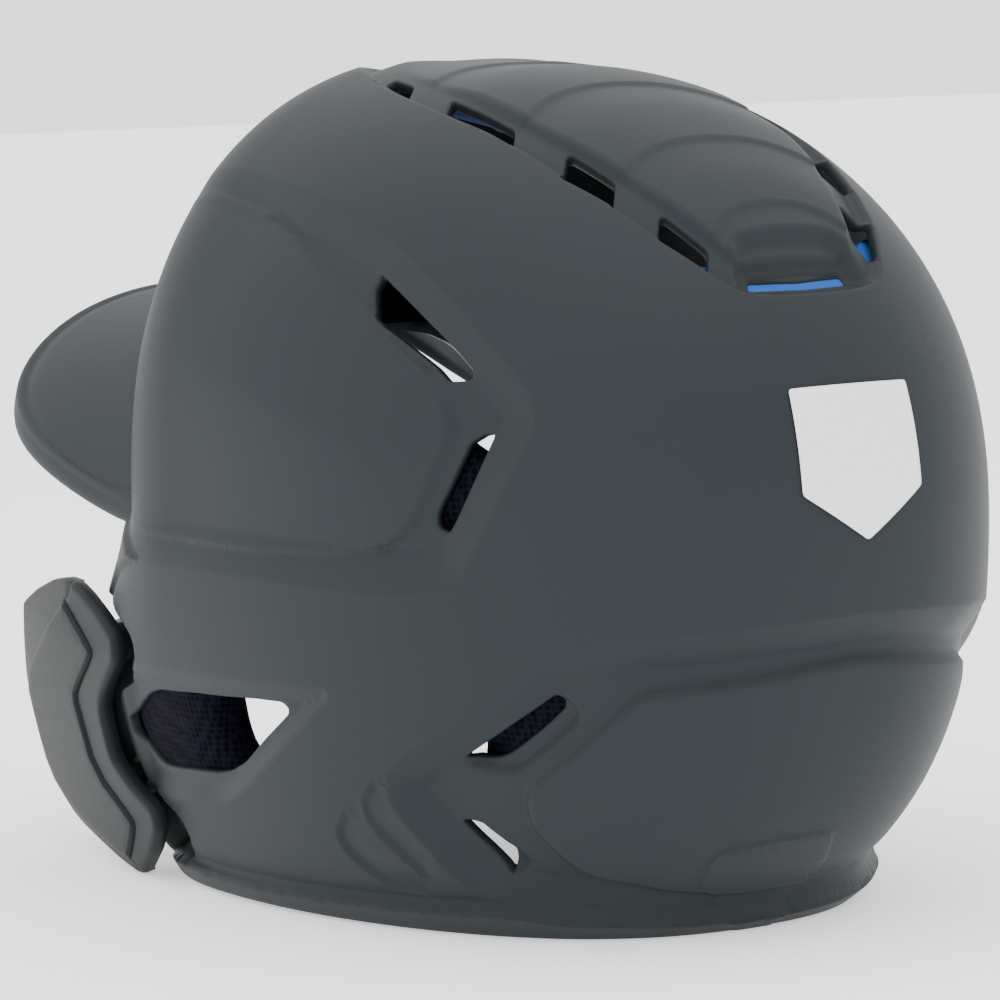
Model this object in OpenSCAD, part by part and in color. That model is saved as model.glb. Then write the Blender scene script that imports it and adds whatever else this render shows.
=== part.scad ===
// Batting helmet with two ear flaps, a moulded visor and a jaw guard on the wearer's left side.
// The front of the helmet faces -Y, the wearer's left is +X, and the rim stands on z = 0.
// The shell is drawn level with the eye line, then tipped to rest on its rim by in_place().

/* [Shell] */
// Half width of the shell at its widest
half_width = 100; // [90:0.5:110]
// Distance from the widest point forward to the forehead
front_reach = 69; // [60:0.5:80]
// Forward reach of the ear flaps, measured the same way
flap_reach = 112; // [100:0.5:125]
// Distance from the widest point back to the rear of the head
rear_reach = 180; // [165:0.5:195]
// Height of the crown above the widest point
crown_rise = 120; // [110:0.5:130]
// Depth of the curve below the widest point at the sides
side_drop = 150; // [140:0.5:165]
// Depth of the curve below the widest point at the rear
rear_drop = 128.8; // [122:0.2:140]
// Height of the widest point above the shell's own base line
belt_height = 101; // [95:0.5:107]
// Distance of the widest point in front of the ears
belt_forward = 19.3; // [15:0.1:24]
// Thickness of the moulded wall
wall = 3.2; // [2.8:0.1:4]
// Height of the brow edge at the front
brow_height = 138; // [130:0.5:140]
// Angle by which the shell tips back when it stands on its rim
rest_tilt = 4; // [3:0.1:5]

/* [Roof] */
// Half width of the raised roof panel
panel_half_width = 35; // [30:0.5:38]
// Height of the raised roof panel above the shell
panel_rise = 0.6; // [0.4:0.1:3]
// Half width of the slot at the rear of the roof
rear_slot_half = 18; // [12:0.5:22]
// Height of the slot at the rear of the roof
rear_slot_height = 7; // [5:0.5:9]

/* [Visor] */
// Forward reach of the visor from the temples
visor_reach = 117.4; // [105:0.2:122]
// Half width of the visor at the temples
visor_half_width = 88; // [82:0.5:91]
// Height of the visor's top where it leaves the forehead
visor_height = 144.6; // [140:0.2:150]
// Fall of the visor's front from the centre to the sides
visor_droop = 21.3; // [18:0.1:26]
// Depth of the band round the visor's edge
visor_band = 9; // [6:0.5:12]

/* [Ear flaps] */
// Depth of the pocket in the flap's front that the jaw guard covers
pocket_depth = 4; // [3:0.1:5]
// Height of the lower rear step in the shell
step_depth = 5; // [3:0.5:6]

/* [Jaw guard] */
// Thickness of the guard's plate
guard_wall = 3.4; // [3:0.1:4]
// Height of the raised panel on the guard's outside
guard_panel_rise = 1; // [0.6:0.1:1.4]
// Travel of the guard forward and back from its middle place
guard_travel = 2; // [1:0.5:3]
// Diameter of the guard screws' shanks
screw_shank = 4.6; // [4:0.1:5]
// Diameter of the guard screws' heads
screw_head = 9; // [8:0.1:9.5]
// Outer diameter of the washers under the heads
washer_size = 13; // [12:0.1:14]

/* [Lining] */
// Space between the shell and the pads
pad_gap = 1.5; // [0.8:0.1:2]
// Thickness of the brow pad
brow_pad_thick = 12; // [8:0.5:14]
// Thickness of the crown pad
crown_pad_thick = 10; // [8:0.5:14]
// Thickness of the rear pad
rear_pad_thick = 12; // [8:0.5:14]
// Thickness of the ear pads
ear_pad_thick = 14; // [10:0.5:16]
// Thickness of the temple pads
temple_pad_thick = 10; // [7:0.5:12]

/* [Hidden] */

plan_power = 2.28;      // squareness of the shell seen from above
side_power = 2.35;      // squareness of the shell seen from the side
flap_blend = [50, 100]; // heights between which the flap's reach turns into the forehead's
rest_lift = 6;          // height added so that the rim stands on z = 0
rest_shift = -5.665;     // puts the origin under the middle of the overall length
shell_columns = 64;
shell_rows = 20;
big = 400;

shell_color = [0.27, 0.29, 0.30];
guard_color = [0.31, 0.33, 0.34];
blue_foam = [0.01, 0.42, 0.75];
black_foam = [0.05, 0.05, 0.06];
black_mesh = [0.06, 0.06, 0.09];
steel = [0.70, 0.71, 0.73];
brass = [0.80, 0.66, 0.35];

// ---- Curves of the shell --------------------------------------------------------------

function ease(t) = let (c = min(max(t, 0), 1)) c * c * (3 - 2 * c);

// Forward reach at a height: the forehead's above the ears, the flap's below
function reach(z) = front_reach
    + (flap_reach - front_reach) * ease((flap_blend[1] - z) / (flap_blend[1] - flap_blend[0]));

// Size of the plan curve at a bearing, where -90 is the front and 0 is the wearer's left
function plan_size(bearing, z) =
    let (
        fore_aft = sin(bearing) < 0 ? reach(z) : rear_reach,
        sum = pow(abs(cos(bearing)) / half_width, plan_power)
            + pow(abs(sin(bearing)) / fore_aft, plan_power)
    ) pow(sum, -1 / plan_power);

// Depth of the lower curve at a bearing
function drop(bearing) = let (w = pow(max(sin(bearing), 0), 2)) side_drop * (1 - w) + rear_drop * w;

function vertical_size(bearing, z) = z > belt_height ? crown_rise : drop(bearing);

// Share of the plan curve left at a height
function shrink(bearing, z) =
    pow(max(1 - pow(abs(z - belt_height) / vertical_size(bearing, z), side_power), 0), 1 / side_power);

centre = [0, -belt_forward, belt_height];

function pushed(p, off) = let (d = p - centre) p + off * d / norm(d);

// Point of the shell's outside at a bearing and a height, pushed outward by off
function skin(bearing, z, off = 0) =
    let (r = plan_size(bearing, z) * shrink(bearing, z))
    pushed([r * cos(bearing), r * sin(bearing) - belt_forward, z], off);

// Point of the roof above a place in plan, pushed outward by off
function roof(x, y, off = 0) =
    let (
        dy = y + belt_forward,
        fore_aft = dy < 0 ? front_reach : rear_reach,
        h = pow(abs(x) / half_width, plan_power) + pow(abs(dy) / fore_aft, plan_power),
        dz = crown_rise * pow(max(1 - pow(h, side_power / plan_power), 0), 1 / side_power)
    ) pushed([x, y, belt_height + dz], off);

// Height of the shell's lower edge at an angle measured from the front
function edge_height(angle) = lookup(angle, [
    [0, brow_height], [20, brow_height - 3], [28, brow_height - 8], [34, brow_height - 18], [42, 94], [47, 78], [50, 62],
    [52, 42], [54, 22], [57, 4], [61, -9], [66, -16], [110, -16], [150, -8], [180, -6]]);

// Angle from the front behind which the flap's surface stands out of the pocket
function pocket_edge(z) = lookup(z, [
    [-12, 76], [0, 85], [12, 86], [17, 80], [24, 75], [40, 75], [50, 84], [60, 86], [68, 76], [76, 62]]);

function front_angle(bearing) = abs(bearing + 90) > 180 ? 360 - abs(bearing + 90) : abs(bearing + 90);

// Inward shift of the wall in the pocket under the jaw guard, on the wearer's left only
function pocket(bearing, z) =
    (bearing > -90 && bearing < 10)
        ? -pocket_depth * ease((pocket_edge(z) - front_angle(bearing)) / 4) * ease((76 - z) / 6)
        : 0;

// Inward shift of the wall below the step that runs round the rear
step_start = 122; // angle from the front where the step begins
function step_height(angle) = lookup(angle, [[step_start, 30], [136, 50], [152, 80], [180, 90]]);
function rear_step(bearing, z) =
    let (a = front_angle(bearing))
    -step_depth * ease((step_height(a) - z) / 9) * ease((a - step_start) / 8);

// Inward shift of the wall at a place, by the pocket and the step together
function wall_shift(bearing, z) = pocket(bearing, z) + rear_step(bearing, z);

// Shift of the lining at a place, deep enough for the wall's flat facets on every side of it
function lining_shift(bearing, z) =
    min([for (turn = [-6, 0, 6], rise = [-8, 0, 8]) wall_shift(bearing + turn, z + rise)]);

// ---- General solids -------------------------------------------------------------------

// Closed solid between two matching grids of points
module slab(outer, inner) {
    rows = len(outer);
    cols = len(outer[0]);
    count = rows * cols;
    points = concat([for (row = outer, p = row) p], [for (row = inner, p = row) p]);
    faces = concat(
        [for (i = [0 : rows - 2], j = [0 : cols - 2]) let (a = i * cols + j) [a, a + 1, a + cols + 1, a + cols]],
        [for (i = [0 : rows - 2], j = [0 : cols - 2]) let (a = count + i * cols + j)
            [a, a + cols, a + cols + 1, a + 1]],
        [for (i = [0 : rows - 2]) let (a = i * cols) [a, a + cols, a + cols + count, a + count]],
        [for (i = [0 : rows - 2]) let (a = i * cols + cols - 1) [a, a + count, a + cols + count, a + cols]],
        [for (j = [0 : cols - 2]) [j, j + count, j + 1 + count, j + 1]],
        [for (j = [0 : cols - 2]) let (a = (rows - 1) * cols + j) [a, a + 1, a + 1 + count, a + count]]
    );
    polyhedron(points, [for (f = faces) [f[0], f[2], f[1]], for (f = faces) [f[0], f[3], f[2]]], convexity = 8);
}

function steps(from, to, count) = [for (i = [0 : count]) from + (to - from) * i / count];

// Part of the lining that follows the shell from one bearing and height to another.
// The inside is drawn in by inset at its edges, so that the pad has sloping sides.
module wall_pad(bearings, heights, thick, columns = 10, rows = 6) {
    near = wall + pad_gap;
    inset = thick * 0.35;
    mid_bearing = (bearings[0] + bearings[1]) / 2;
    mid_height = (heights[0] + heights[1]) / 2;
    shrink_b = 1 - 2 * inset / (abs(bearings[1] - bearings[0]) * 1.6);
    shrink_h = 1 - 2 * inset / abs(heights[1] - heights[0]);
    slab(
        [for (z = steps(heights[0], heights[1], rows))
            [for (b = steps(bearings[0], bearings[1], columns)) skin(b, z, lining_shift(b, z) - near)]],
        [for (z = steps(heights[0], heights[1], rows))
            [for (b = steps(bearings[0], bearings[1], columns))
                skin(mid_bearing + (b - mid_bearing) * shrink_b,
                    mid_height + (z - mid_height) * shrink_h, lining_shift(b, z) - near - thick)]]
    );
}

// Part of the lining under the roof, given by its extent in plan
module roof_pad(xs, ys, thick, near, columns = 8, rows = 10) {
    inset = 1 - thick * 0.7 / min(abs(xs[1] - xs[0]), abs(ys[1] - ys[0]));
    mx = (xs[0] + xs[1]) / 2;
    my = (ys[0] + ys[1]) / 2;
    slab(
        [for (y = steps(ys[0], ys[1], rows)) [for (x = steps(xs[0], xs[1], columns)) roof(x, y, -near)]],
        [for (y = steps(ys[0], ys[1], rows)) [for (x = steps(xs[0], xs[1], columns))
            roof(mx + (x - mx) * inset, my + (y - my) * inset, -near - thick)]]
    );
}

// Prism across the shell with its outline in the side view; side is 1 for the left, -1 for the right
module side_cut(outline, side, from_x = 40) {
    translate([side > 0 ? from_x : -from_x, 0, 0])
        rotate([90, 0, 90])
            translate([0, 0, side > 0 ? 0 : -big])
                linear_extrude(height = big) polygon(outline);
}

module both_sides(outline, from_x = 40) {
    side_cut(outline, 1, from_x);
    side_cut(outline, -1, from_x);
}

// Tips a piece from the shell's own level to its place on the rim
module in_place() {
    translate([0, rest_shift, rest_lift]) rotate([-rest_tilt, 0, 0]) children();
}

// Removes what lies below the face that the rim stands on
module above_rest() {
    difference() {
        in_place() children();
        translate([-big / 2, -big / 2, -big]) cube([big, big, big]);
    }
}

// ---- Shell ----------------------------------------------------------------------------

function lower_edge_angle(bearing) =
    let (
        z = edge_height(front_angle(bearing)),
        dz = z - belt_height,
        share = pow(abs(dz) / vertical_size(bearing, z), side_power / 2)
    ) dz > 0 ? asin(share) : -asin(share);

// Point of the shell at a bearing and a rise angle, where 90 is the crown
function dome_point(bearing, rise, off) =
    let (
        c = rise > 0 ? crown_rise : drop(bearing),
        dz = c * pow(abs(sin(rise)), 2 / side_power) * (rise < 0 ? -1 : 1),
        z = belt_height + dz,
        r = plan_size(bearing, z) * pow(max(cos(rise), 0), 2 / side_power)
    ) pushed([r * cos(bearing), r * sin(bearing) - belt_forward, z],
        off + wall_shift(bearing, z));

module dome() {
    bearings = [for (i = [0 : shell_columns - 1]) -180 + 360 * i / shell_columns];
    function ring_rise(b, i) = let (low = lower_edge_angle(b)) low + (89.5 - low) * i / shell_rows;
    ring_count = (shell_rows + 1) * shell_columns;
    outer = [for (i = [0 : shell_rows], b = bearings) dome_point(b, ring_rise(b, i), 0)];
    inner = [for (i = [0 : shell_rows], b = bearings) dome_point(b, ring_rise(b, i), -wall)];
    outer_top = 2 * ring_count;
    inner_top = outer_top + 1;
    function at(i, j) = i * shell_columns + (j % shell_columns);
    last = shell_rows;
    points = concat(outer, inner,
        [centre + [0, 0, crown_rise]], [centre + [0, 0, crown_rise - wall]]);
    faces = concat(
        [for (i = [0 : last - 1], j = [0 : shell_columns - 1]) [at(i, j), at(i + 1, j), at(i + 1, j + 1)]],
        [for (i = [0 : last - 1], j = [0 : shell_columns - 1]) [at(i, j), at(i + 1, j + 1), at(i, j + 1)]],
        [for (i = [0 : last - 1], j = [0 : shell_columns - 1])
            [ring_count + at(i, j), ring_count + at(i + 1, j + 1), ring_count + at(i + 1, j)]],
        [for (i = [0 : last - 1], j = [0 : shell_columns - 1])
            [ring_count + at(i, j), ring_count + at(i, j + 1), ring_count + at(i + 1, j + 1)]],
        [for (j = [0 : shell_columns - 1]) [at(last, j), outer_top, at(last, j + 1)]],
        [for (j = [0 : shell_columns - 1]) [ring_count + at(last, j), ring_count + at(last, j + 1), inner_top]],
        [for (j = [0 : shell_columns - 1]) [at(0, j), at(0, j + 1), ring_count + at(0, j + 1)]],
        [for (j = [0 : shell_columns - 1]) [at(0, j), ring_count + at(0, j + 1), ring_count + at(0, j)]]
    );
    polyhedron(points, faces, convexity = 10);
}

// Half width of the raised roof panel at a distance behind the ears
function panel_width(y) = lookup(y, [[-70, 0.62], [-40, 0.85], [0, 0.97], [40, 1], [80, 0.95],
    [100, 0.8], [120, 0.63], [131, 0.48]]) * panel_half_width;

module roof_panel() {
    ys = steps(-66, 130, 16);
    us = steps(-1, 1, 6);
    slab(
        [for (y = ys) [for (u = us) roof(u * panel_width(y), y, panel_rise * (abs(u) > 0.99 ? 0.2 : 1))]],
        [for (y = ys) [for (u = us) roof(u * panel_width(y), y, -wall / 2)]]
    );
}

// Place of the visor's edge and root for a turn from 0 at the left temple to 180 at the right
visor_power = 4.84; // squareness of the visor's edge seen from above
visor_root_turn = 30; // turn of the shell's plan curve at which the visor leaves the temple
visor_temple_y = -50;
function bent(v, n) = (v < 0 ? -1 : 1) * pow(abs(v), 2 / n);
function visor_edge(turn) = [visor_half_width * bent(cos(turn), visor_power),
    visor_temple_y - visor_reach * bent(sin(turn), visor_power)];
function visor_root(turn) =
    let (t = visor_root_turn + (180 - 2 * visor_root_turn) * turn / 180)
    [(half_width - 5) * bent(cos(t), plan_power), -belt_forward - (front_reach - 5) * bent(sin(t), plan_power)];
visor_slope = -0.019;      // rise of the visor's top from front to back
visor_droop_power = 2.6;   // how late the fall to the side begins
// The fall to the side grows from the visor's front to the temple
function visor_fall(y) = visor_droop * (1 + 0.28 * ease((y + 150) / 95));
function visor_top(p) = visor_height + visor_slope * (p[1] + 88)
    - visor_fall(p[1]) * pow(abs(p[0]) / 72, visor_droop_power);

// Outline of the visor's section: top from root to edge, down the band, and back underneath
function visor_section(turn) =
    let (
        root = visor_root(turn),
        edge = visor_edge(turn),
        span = [for (t = [0, 0.25, 0.5, 0.75, 0.93, 1]) root + (edge - root) * t],
        back = [for (t = [0.95, 0.7, 0.4, 0]) root + (edge - root) * t],
        lip = visor_top(edge) - 1.5,
        band_foot = lip - visor_band
    ) concat(
        [for (i = [0 : 4]) [span[i][0], span[i][1], visor_top(span[i])]],
        [[edge[0], edge[1], lip], [edge[0], edge[1], band_foot], [back[0][0], back[0][1], band_foot]],
        [for (p = back) [p[0], p[1], visor_top(p) - wall]]
    );

module visor() {
    turns = concat([0, 0.3, 1, 2.5], steps(4, 176, 34), [177.5, 179, 179.7, 180]);
    sections = [for (t = turns) visor_section(t)];
    n = len(sections[0]);
    last = len(sections) - 1;
    points = [for (s = sections, p = s) p];
    faces = concat(
        [for (i = [0 : last - 1], j = [0 : n - 1]) let (a = i * n + j, b = i * n + (j + 1) % n) [a, b, b + n]],
        [for (i = [0 : last - 1], j = [0 : n - 1]) let (a = i * n + j, b = i * n + (j + 1) % n) [a, b + n, a + n]],
        [[for (j = [n - 1 : -1 : 0]) j]],
        [[for (j = [0 : n - 1]) last * n + j]]
    );
    polyhedron(points, faces, convexity = 6);
}

// Roof vents in plan, from front to rear: corners on the wearer's left
roof_vent_outlines = [
    [[35, -5], [42, 1], [44, 17], [38, 11]],
    [[40.5, 35], [45.5, 39], [44.5, 68], [40, 62]],
    [[37, 83], [42, 89], [38, 104], [34.5, 100]],
    [[29, 113], [33, 118], [27, 129], [24, 126]]];

upper_vent = [[60, 171], [63, 162], [68, 160], [88, 150], [92, 147], [97, 147], [98, 149], [91, 154.5]];
lower_vent = [[106.5, 134], [100, 133.5], [97, 131.5], [91.5, 115], [92, 111], [96, 109], [99, 112], [104, 124]];
rear_vent_high = [[86, 48], [89, 50], [114, 69.5], [118, 69.5], [120, 66], [119.5, 62], [112, 55], [102, 46.5], [92, 45.5]];
rear_vent_low = [[80, 31.5], [87, 32], [93, 23.5], [93, 20.5], [89, 17.5], [85, 16.5]];
ear_hole = [[-60, 35.5], [-43, 45.5], [-37, 48.5], [-29, 50], [22, 56], [34, 57], [37, 55.5], [36, 53.5],
    [12, 37], [3, 33], [-4, 31], [-37, 27], [-43, 28.5], [-59, 33.5]];

// Seats and slots for the screws of the jaw guard
screw_places = [[-66, 57], [-64, 19]];  // distance behind the ears and height of each screw
boss_radius = 11;
seat_radius = 10.6;                     // cleared round each boss, so that the washer and spacer lie flat
boss_inner = [76, 69];                  // inner face of each boss
boss_outer = [86.6, 79.6];              // outer face of each boss
slot_clearance = 0.7;
module screw_axis(i, from_x) {
    translate([from_x, screw_places[i][0], screw_places[i][1]]) rotate([0, 90, 0]) children();
}
module guard_boss(i) {
    screw_axis(i, boss_inner[i]) cylinder(r = boss_radius, h = boss_outer[i] - boss_inner[i], $fn = 40);
}
module guard_slot(i) {
    width = screw_shank + slot_clearance;
    screw_axis(i, boss_inner[i] - 8) {
        for (s = [-1, 1]) translate([0, s * guard_travel, 0]) cylinder(d = width, h = 40, $fn = 40);
        translate([-width / 2, -guard_travel, 0]) cube([width, 2 * guard_travel, 40]);
    }
}
module seat_clearance(i) {
    screw_axis(i, boss_outer[i]) cylinder(r = seat_radius, h = 12, $fn = 40);
    screw_axis(i, boss_inner[i] - 12) cylinder(r = seat_radius, h = 12, $fn = 40);
}

// The moulding before its screw slots are cut
module moulding() {
    for (i = [0, 1]) guard_boss(i);
    difference() {
        union() {
            dome();
            roof_panel();
            visor();
        }
        for (i = [0, 1]) seat_clearance(i);
        for (side = [-1, 1], outline = roof_vent_outlines)
            translate([0, 0, 150]) linear_extrude(height = 100)
                polygon([for (p = outline) [side * p[0], p[1]]]);
        translate([-rear_slot_half, 100, 169]) cube([2 * rear_slot_half, 60, rear_slot_height]);
        both_sides(upper_vent);
        both_sides(lower_vent);
        both_sides(rear_vent_high, 30);
        both_sides(rear_vent_low, 30);
        both_sides(ear_hole);
    }
}

// The facets leave the widest place a hair narrow, so the overall width is set exactly
module shell() {
    color(shell_color) difference() {
        resize([2 * half_width, 0, 0]) above_rest() moulding();
        in_place() for (i = [0, 1]) guard_slot(i);
    }
}

// ---- Lining ---------------------------------------------------------------------------

module crown_pad() {
    color(blue_foam) in_place() roof_pad([-26, 26], [-20, 70], crown_pad_thick, wall + pad_gap);
}
module crown_strip(side) {
    color(black_foam) in_place()
        roof_pad([side * 52 - 5, side * 52 + 5], [-20, 78], crown_pad_thick * 0.8, wall + pad_gap, 3, 10);
}
module crown_strip_left() { crown_strip(1); }
module crown_strip_right() { crown_strip(-1); }

brow_bearings = [-150, -30];
brow_heights = [141.5, 164];
cover_thick = 1.2;
module brow_pad() {
    color(black_foam) in_place() wall_pad(brow_bearings, brow_heights, brow_pad_thick, 24, 4);
}
module brow_pad_cover() {
    outer = wall + pad_gap + brow_pad_thick + 0.3;
    color(black_mesh) in_place() slab(
        [for (z = steps(144, 161, 4)) [for (b = steps(-145, -35, 22)) skin(b, z, -outer)]],
        [for (z = steps(144, 161, 4)) [for (b = steps(-145, -35, 22)) skin(b, z, -outer - cover_thick)]]
    );
}
module rear_pad() { color(black_foam) in_place() wall_pad([55, 125], [18, 100], rear_pad_thick, 14, 8); }
module rear_gel_pad() { color(blue_foam) in_place() wall_pad([66, 114], [146, 182], rear_pad_thick, 10, 5); }
module temple_pad_left() { color(black_foam) in_place() wall_pad([-12, 16], [118, 148], temple_pad_thick, 6, 4); }
module temple_pad_right() { color(black_foam) in_place() wall_pad([164, 192], [118, 148], temple_pad_thick, 6, 4); }
module side_pad_left() { color(black_foam) in_place() wall_pad([26, 58], [104, 134], temple_pad_thick, 6, 4); }
module side_pad_right() { color(black_foam) in_place() wall_pad([122, 154], [104, 134], temple_pad_thick, 6, 4); }

// Ear pads: one long cushion below the temple on each side, with a window at the ear
ear_window = [[-9, 34], [-9, 60], [28, 66], [42, 58], [26, 30], [2, 26]];
module ear_pad(side) {
    middle = side > 0 ? 8 : 172;
    color(black_mesh) in_place() difference() {
        wall_pad([middle - 31, middle + 29], [10, 92], ear_pad_thick, 12, 8);
        side_cut(ear_window, side, 40);
        for (i = [0, 1]) if (side > 0)
            screw_axis(i, boss_inner[i] - 20) cylinder(r = boss_radius + 3, h = 40, $fn = 40);
    }
}
module ear_pad_left() { ear_pad(1); }
module ear_pad_right() { ear_pad(-1); }

// Hook patches that hold the ear pads to the shell, set into the space behind them
module hook_patch(side) {
    first = side > 0 ? 14 : 150;
    color(black_foam) in_place() for (z = [76, 20])
        slab(
            [for (h = steps(z - 4, z + 4, 2)) [for (b = steps(first, first + 16, 4))
                skin(b, h, lining_shift(b, h) - wall - 0.4)]],
            [for (h = steps(z - 4, z + 4, 2)) [for (b = steps(first, first + 16, 4))
                skin(b, h, lining_shift(b, h) - wall - pad_gap + 0.6)]]
        );
}
module hook_patch_left() { hook_patch(1); }
module hook_patch_right() { hook_patch(-1); }

// Plain five-sided badge on the rear of the shell
badge_thick = 0.4;
badge_heights = [109, 111.5, 114, 116.5, 120, 128, 137, 147];
badge_widths = [0.3, 1.7, 3.1, 4.5, 6.2, 6.2, 6.2, 6.2]; // half widths at those heights, in degrees of bearing
function badge_face(off) = [for (i = [0 : len(badge_heights) - 1])
    [for (side = steps(-1, 1, 6)) skin(90 + side * badge_widths[i], badge_heights[i], off)]];
module rear_emblem() {
    color("white") in_place() slab(badge_face(badge_thick + 0.15), badge_face(0.15));
}

// ---- Jaw guard ------------------------------------------------------------------------

// Outside of the guard at a distance behind the ears and a height
guard_line = 96.5;
function guard_x(y, z) =
    let (ahead = max(-40 - y, 0), low = max(56 - z, 0), tip = max(-137 - y, 0))
    guard_line - 0.08 * ahead - 0.0006 * ahead * ahead - 0.11 * low - 0.0014 * low * low - 0.05 * tip * tip;

guard_outline = [[-91.6, 71.5], [-81.9, 71.7], [-73.7, 70], [-60.5, 65.6], [-50.5, 60.8], [-50.3, 54.3],
    [-63.7, 42.7], [-67.7, 37.3], [-65.4, 23.6], [-54.8, 17.6], [-41, 13], [-40.8, 7.7], [-49.1, -0.9],
    [-65.1, -11.8], [-80.5, -10.6], [-114.8, -5], [-132, 4], [-140, 20], [-150, 37], [-151, 47],
    [-146, 54], [-137.7, 57.5], [-124.2, 62.9], [-104.9, 68.9]];
guard_panel_outline = [[-87, 64.6], [-67.4, 55.5], [-66.8, 53.2], [-81.5, 42.1], [-85.8, 37.9], [-83.8, 32.3],
    [-79.8, 17.3], [-58, 7.5], [-57.6, 4.7], [-68, -6], [-79, -6.5], [-113, -1], [-127, 7], [-130.6, 23.2],
    [-132.2, 35.5], [-112.7, 48.9]];

// Plate between two offsets from the guard's outside surface, cut to an outline
module guard_sheet(outline, out, thick) {
    ys = steps(-160, -36, 30);
    zs = steps(-20, 80, 12);
    intersection() {
        slab(
            [for (z = zs) [for (y = ys) [guard_x(y, z) + out, y, z]]],
            [for (z = zs) [for (y = ys) [guard_x(y, z) + out - thick, y, z]]]
        );
        side_cut(outline, 1, 20);
    }
}

spacer_gap = 0.3;
guard_seat = [boss_outer[0] + 3.6, boss_outer[1] + 3.6]; // inner face of the guard's mounting pads
insert_radius = 3.6;
insert_length = 3.2;
pillar_radius = 7;
module guard_pillar(i) {
    top = guard_x(screw_places[i][0], screw_places[i][1]) - 1;
    screw_axis(i, guard_seat[i]) cylinder(r = pillar_radius, h = top - guard_seat[i], $fn = 40);
}

module jaw_guard() {
    color(guard_color) above_rest() difference() {
        union() {
            guard_sheet(guard_outline, 0, guard_wall);
            guard_sheet(guard_panel_outline, guard_panel_rise, guard_panel_rise + 1);
            for (i = [0, 1]) guard_pillar(i);
        }
        for (i = [0, 1])
            screw_axis(i, guard_seat[i] - 1) cylinder(r = insert_radius, h = insert_length + 1, $fn = 40);
        for (i = [0, 1])
            screw_axis(i, guard_seat[i] - 5) cylinder(r = pillar_radius, h = 5, $fn = 40);
    }
}
guard_pad_outline = [[-100, 58], [-94, 40], [-94, 20], [-104, 8], [-120, 8], [-128, 22], [-135, 38], [-135, 50],
    [-122, 56]];
module guard_pad() {
    color(blue_foam) above_rest() guard_sheet(guard_pad_outline, -guard_wall - 0.2, 8);
}

// Threaded insert pressed into the guard
module guard_insert(i) {
    color(brass) in_place() screw_axis(i, guard_seat[i]) difference() {
        cylinder(r = insert_radius, h = insert_length, $fn = 40);
        translate([0, 0, -1]) cylinder(d = screw_shank, h = insert_length + 2, $fn = 40);
    }
}
module guard_insert_upper() { guard_insert(0); }
module guard_insert_lower() { guard_insert(1); }

// Screw from the inside of the flap into the guard, with a domed head and a cross recess
washer_thick = 1;
head_height = 3;
module guard_screw(i) {
    start = boss_inner[i] - 0.3 - washer_thick;
    color(steel) in_place() difference() {
        union() {
            screw_axis(i, start) cylinder(d = screw_shank, h = guard_seat[i] + insert_length - 0.2 - start, $fn = 40);
            screw_axis(i, start - head_height) cylinder(d1 = screw_head * 0.7, d2 = screw_head, h = head_height, $fn = 40);
        }
        screw_axis(i, start - head_height - 1) for (a = [0, 90])
            rotate([0, 0, a]) translate([-2.4, -0.5, 0]) cube([4.8, 1, 2.6]);
    }
}
module guard_screw_upper() { guard_screw(0); }
module guard_screw_lower() { guard_screw(1); }

module guard_washer(i) {
    color(steel) in_place() screw_axis(i, boss_inner[i] - 0.3 - washer_thick) difference() {
        cylinder(d = washer_size, h = washer_thick, $fn = 48);
        translate([0, 0, -1]) cylinder(d = screw_shank + 0.3, h = washer_thick + 2, $fn = 40);
    }
}
module guard_washer_upper() { guard_washer(0); }
module guard_washer_lower() { guard_washer(1); }

// Rubber spacer that keeps the guard off the flap
spacer_size = 11;
module guard_spacer(i) {
    color(black_foam) in_place() screw_axis(i, boss_outer[i] + spacer_gap) difference() {
        cylinder(d = spacer_size, h = guard_seat[i] - boss_outer[i] - spacer_gap, $fn = 48);
        translate([0, 0, -1]) cylinder(d = screw_shank + 0.3, h = 10, $fn = 40);
    }
}
module guard_spacer_upper() { guard_spacer(0); }
module guard_spacer_lower() { guard_spacer(1); }

// ---- Assembly -------------------------------------------------------------------------

shell();
crown_pad();
crown_strip_left();
crown_strip_right();
brow_pad();
brow_pad_cover();
rear_pad();
rear_gel_pad();
temple_pad_left();
temple_pad_right();
side_pad_left();
side_pad_right();
ear_pad_left();
ear_pad_right();
hook_patch_left();
hook_patch_right();
rear_emblem();
jaw_guard();
guard_pad();
guard_screw_upper();
guard_screw_lower();
guard_washer_upper();
guard_washer_lower();
guard_insert_upper();
guard_insert_lower();
guard_spacer_upper();
guard_spacer_lower();
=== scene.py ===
import math

import bpy
import numpy as np
from mathutils import Matrix, Vector
from mathutils.geometry import delaunay_2d_cdt


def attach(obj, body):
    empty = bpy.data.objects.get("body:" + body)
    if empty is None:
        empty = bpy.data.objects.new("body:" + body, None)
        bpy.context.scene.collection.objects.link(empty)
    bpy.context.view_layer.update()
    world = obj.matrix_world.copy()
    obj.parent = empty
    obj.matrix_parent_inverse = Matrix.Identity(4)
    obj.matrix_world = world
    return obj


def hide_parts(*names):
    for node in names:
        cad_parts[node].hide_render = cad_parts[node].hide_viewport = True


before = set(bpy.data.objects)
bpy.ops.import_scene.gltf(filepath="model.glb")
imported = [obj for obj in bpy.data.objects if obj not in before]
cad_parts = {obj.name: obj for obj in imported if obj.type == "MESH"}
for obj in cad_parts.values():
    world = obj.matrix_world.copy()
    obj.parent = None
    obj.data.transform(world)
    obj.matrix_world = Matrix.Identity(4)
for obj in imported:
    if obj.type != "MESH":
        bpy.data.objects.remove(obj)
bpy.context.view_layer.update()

# ---- Frame ----------------------------------------------------------------------------
# Shapes are drawn in millimetres with the shell level, then tipped on to its rim.

TILT = math.radians(4.0)
SHIFT = -5.665
LIFT = 6.0


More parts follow.
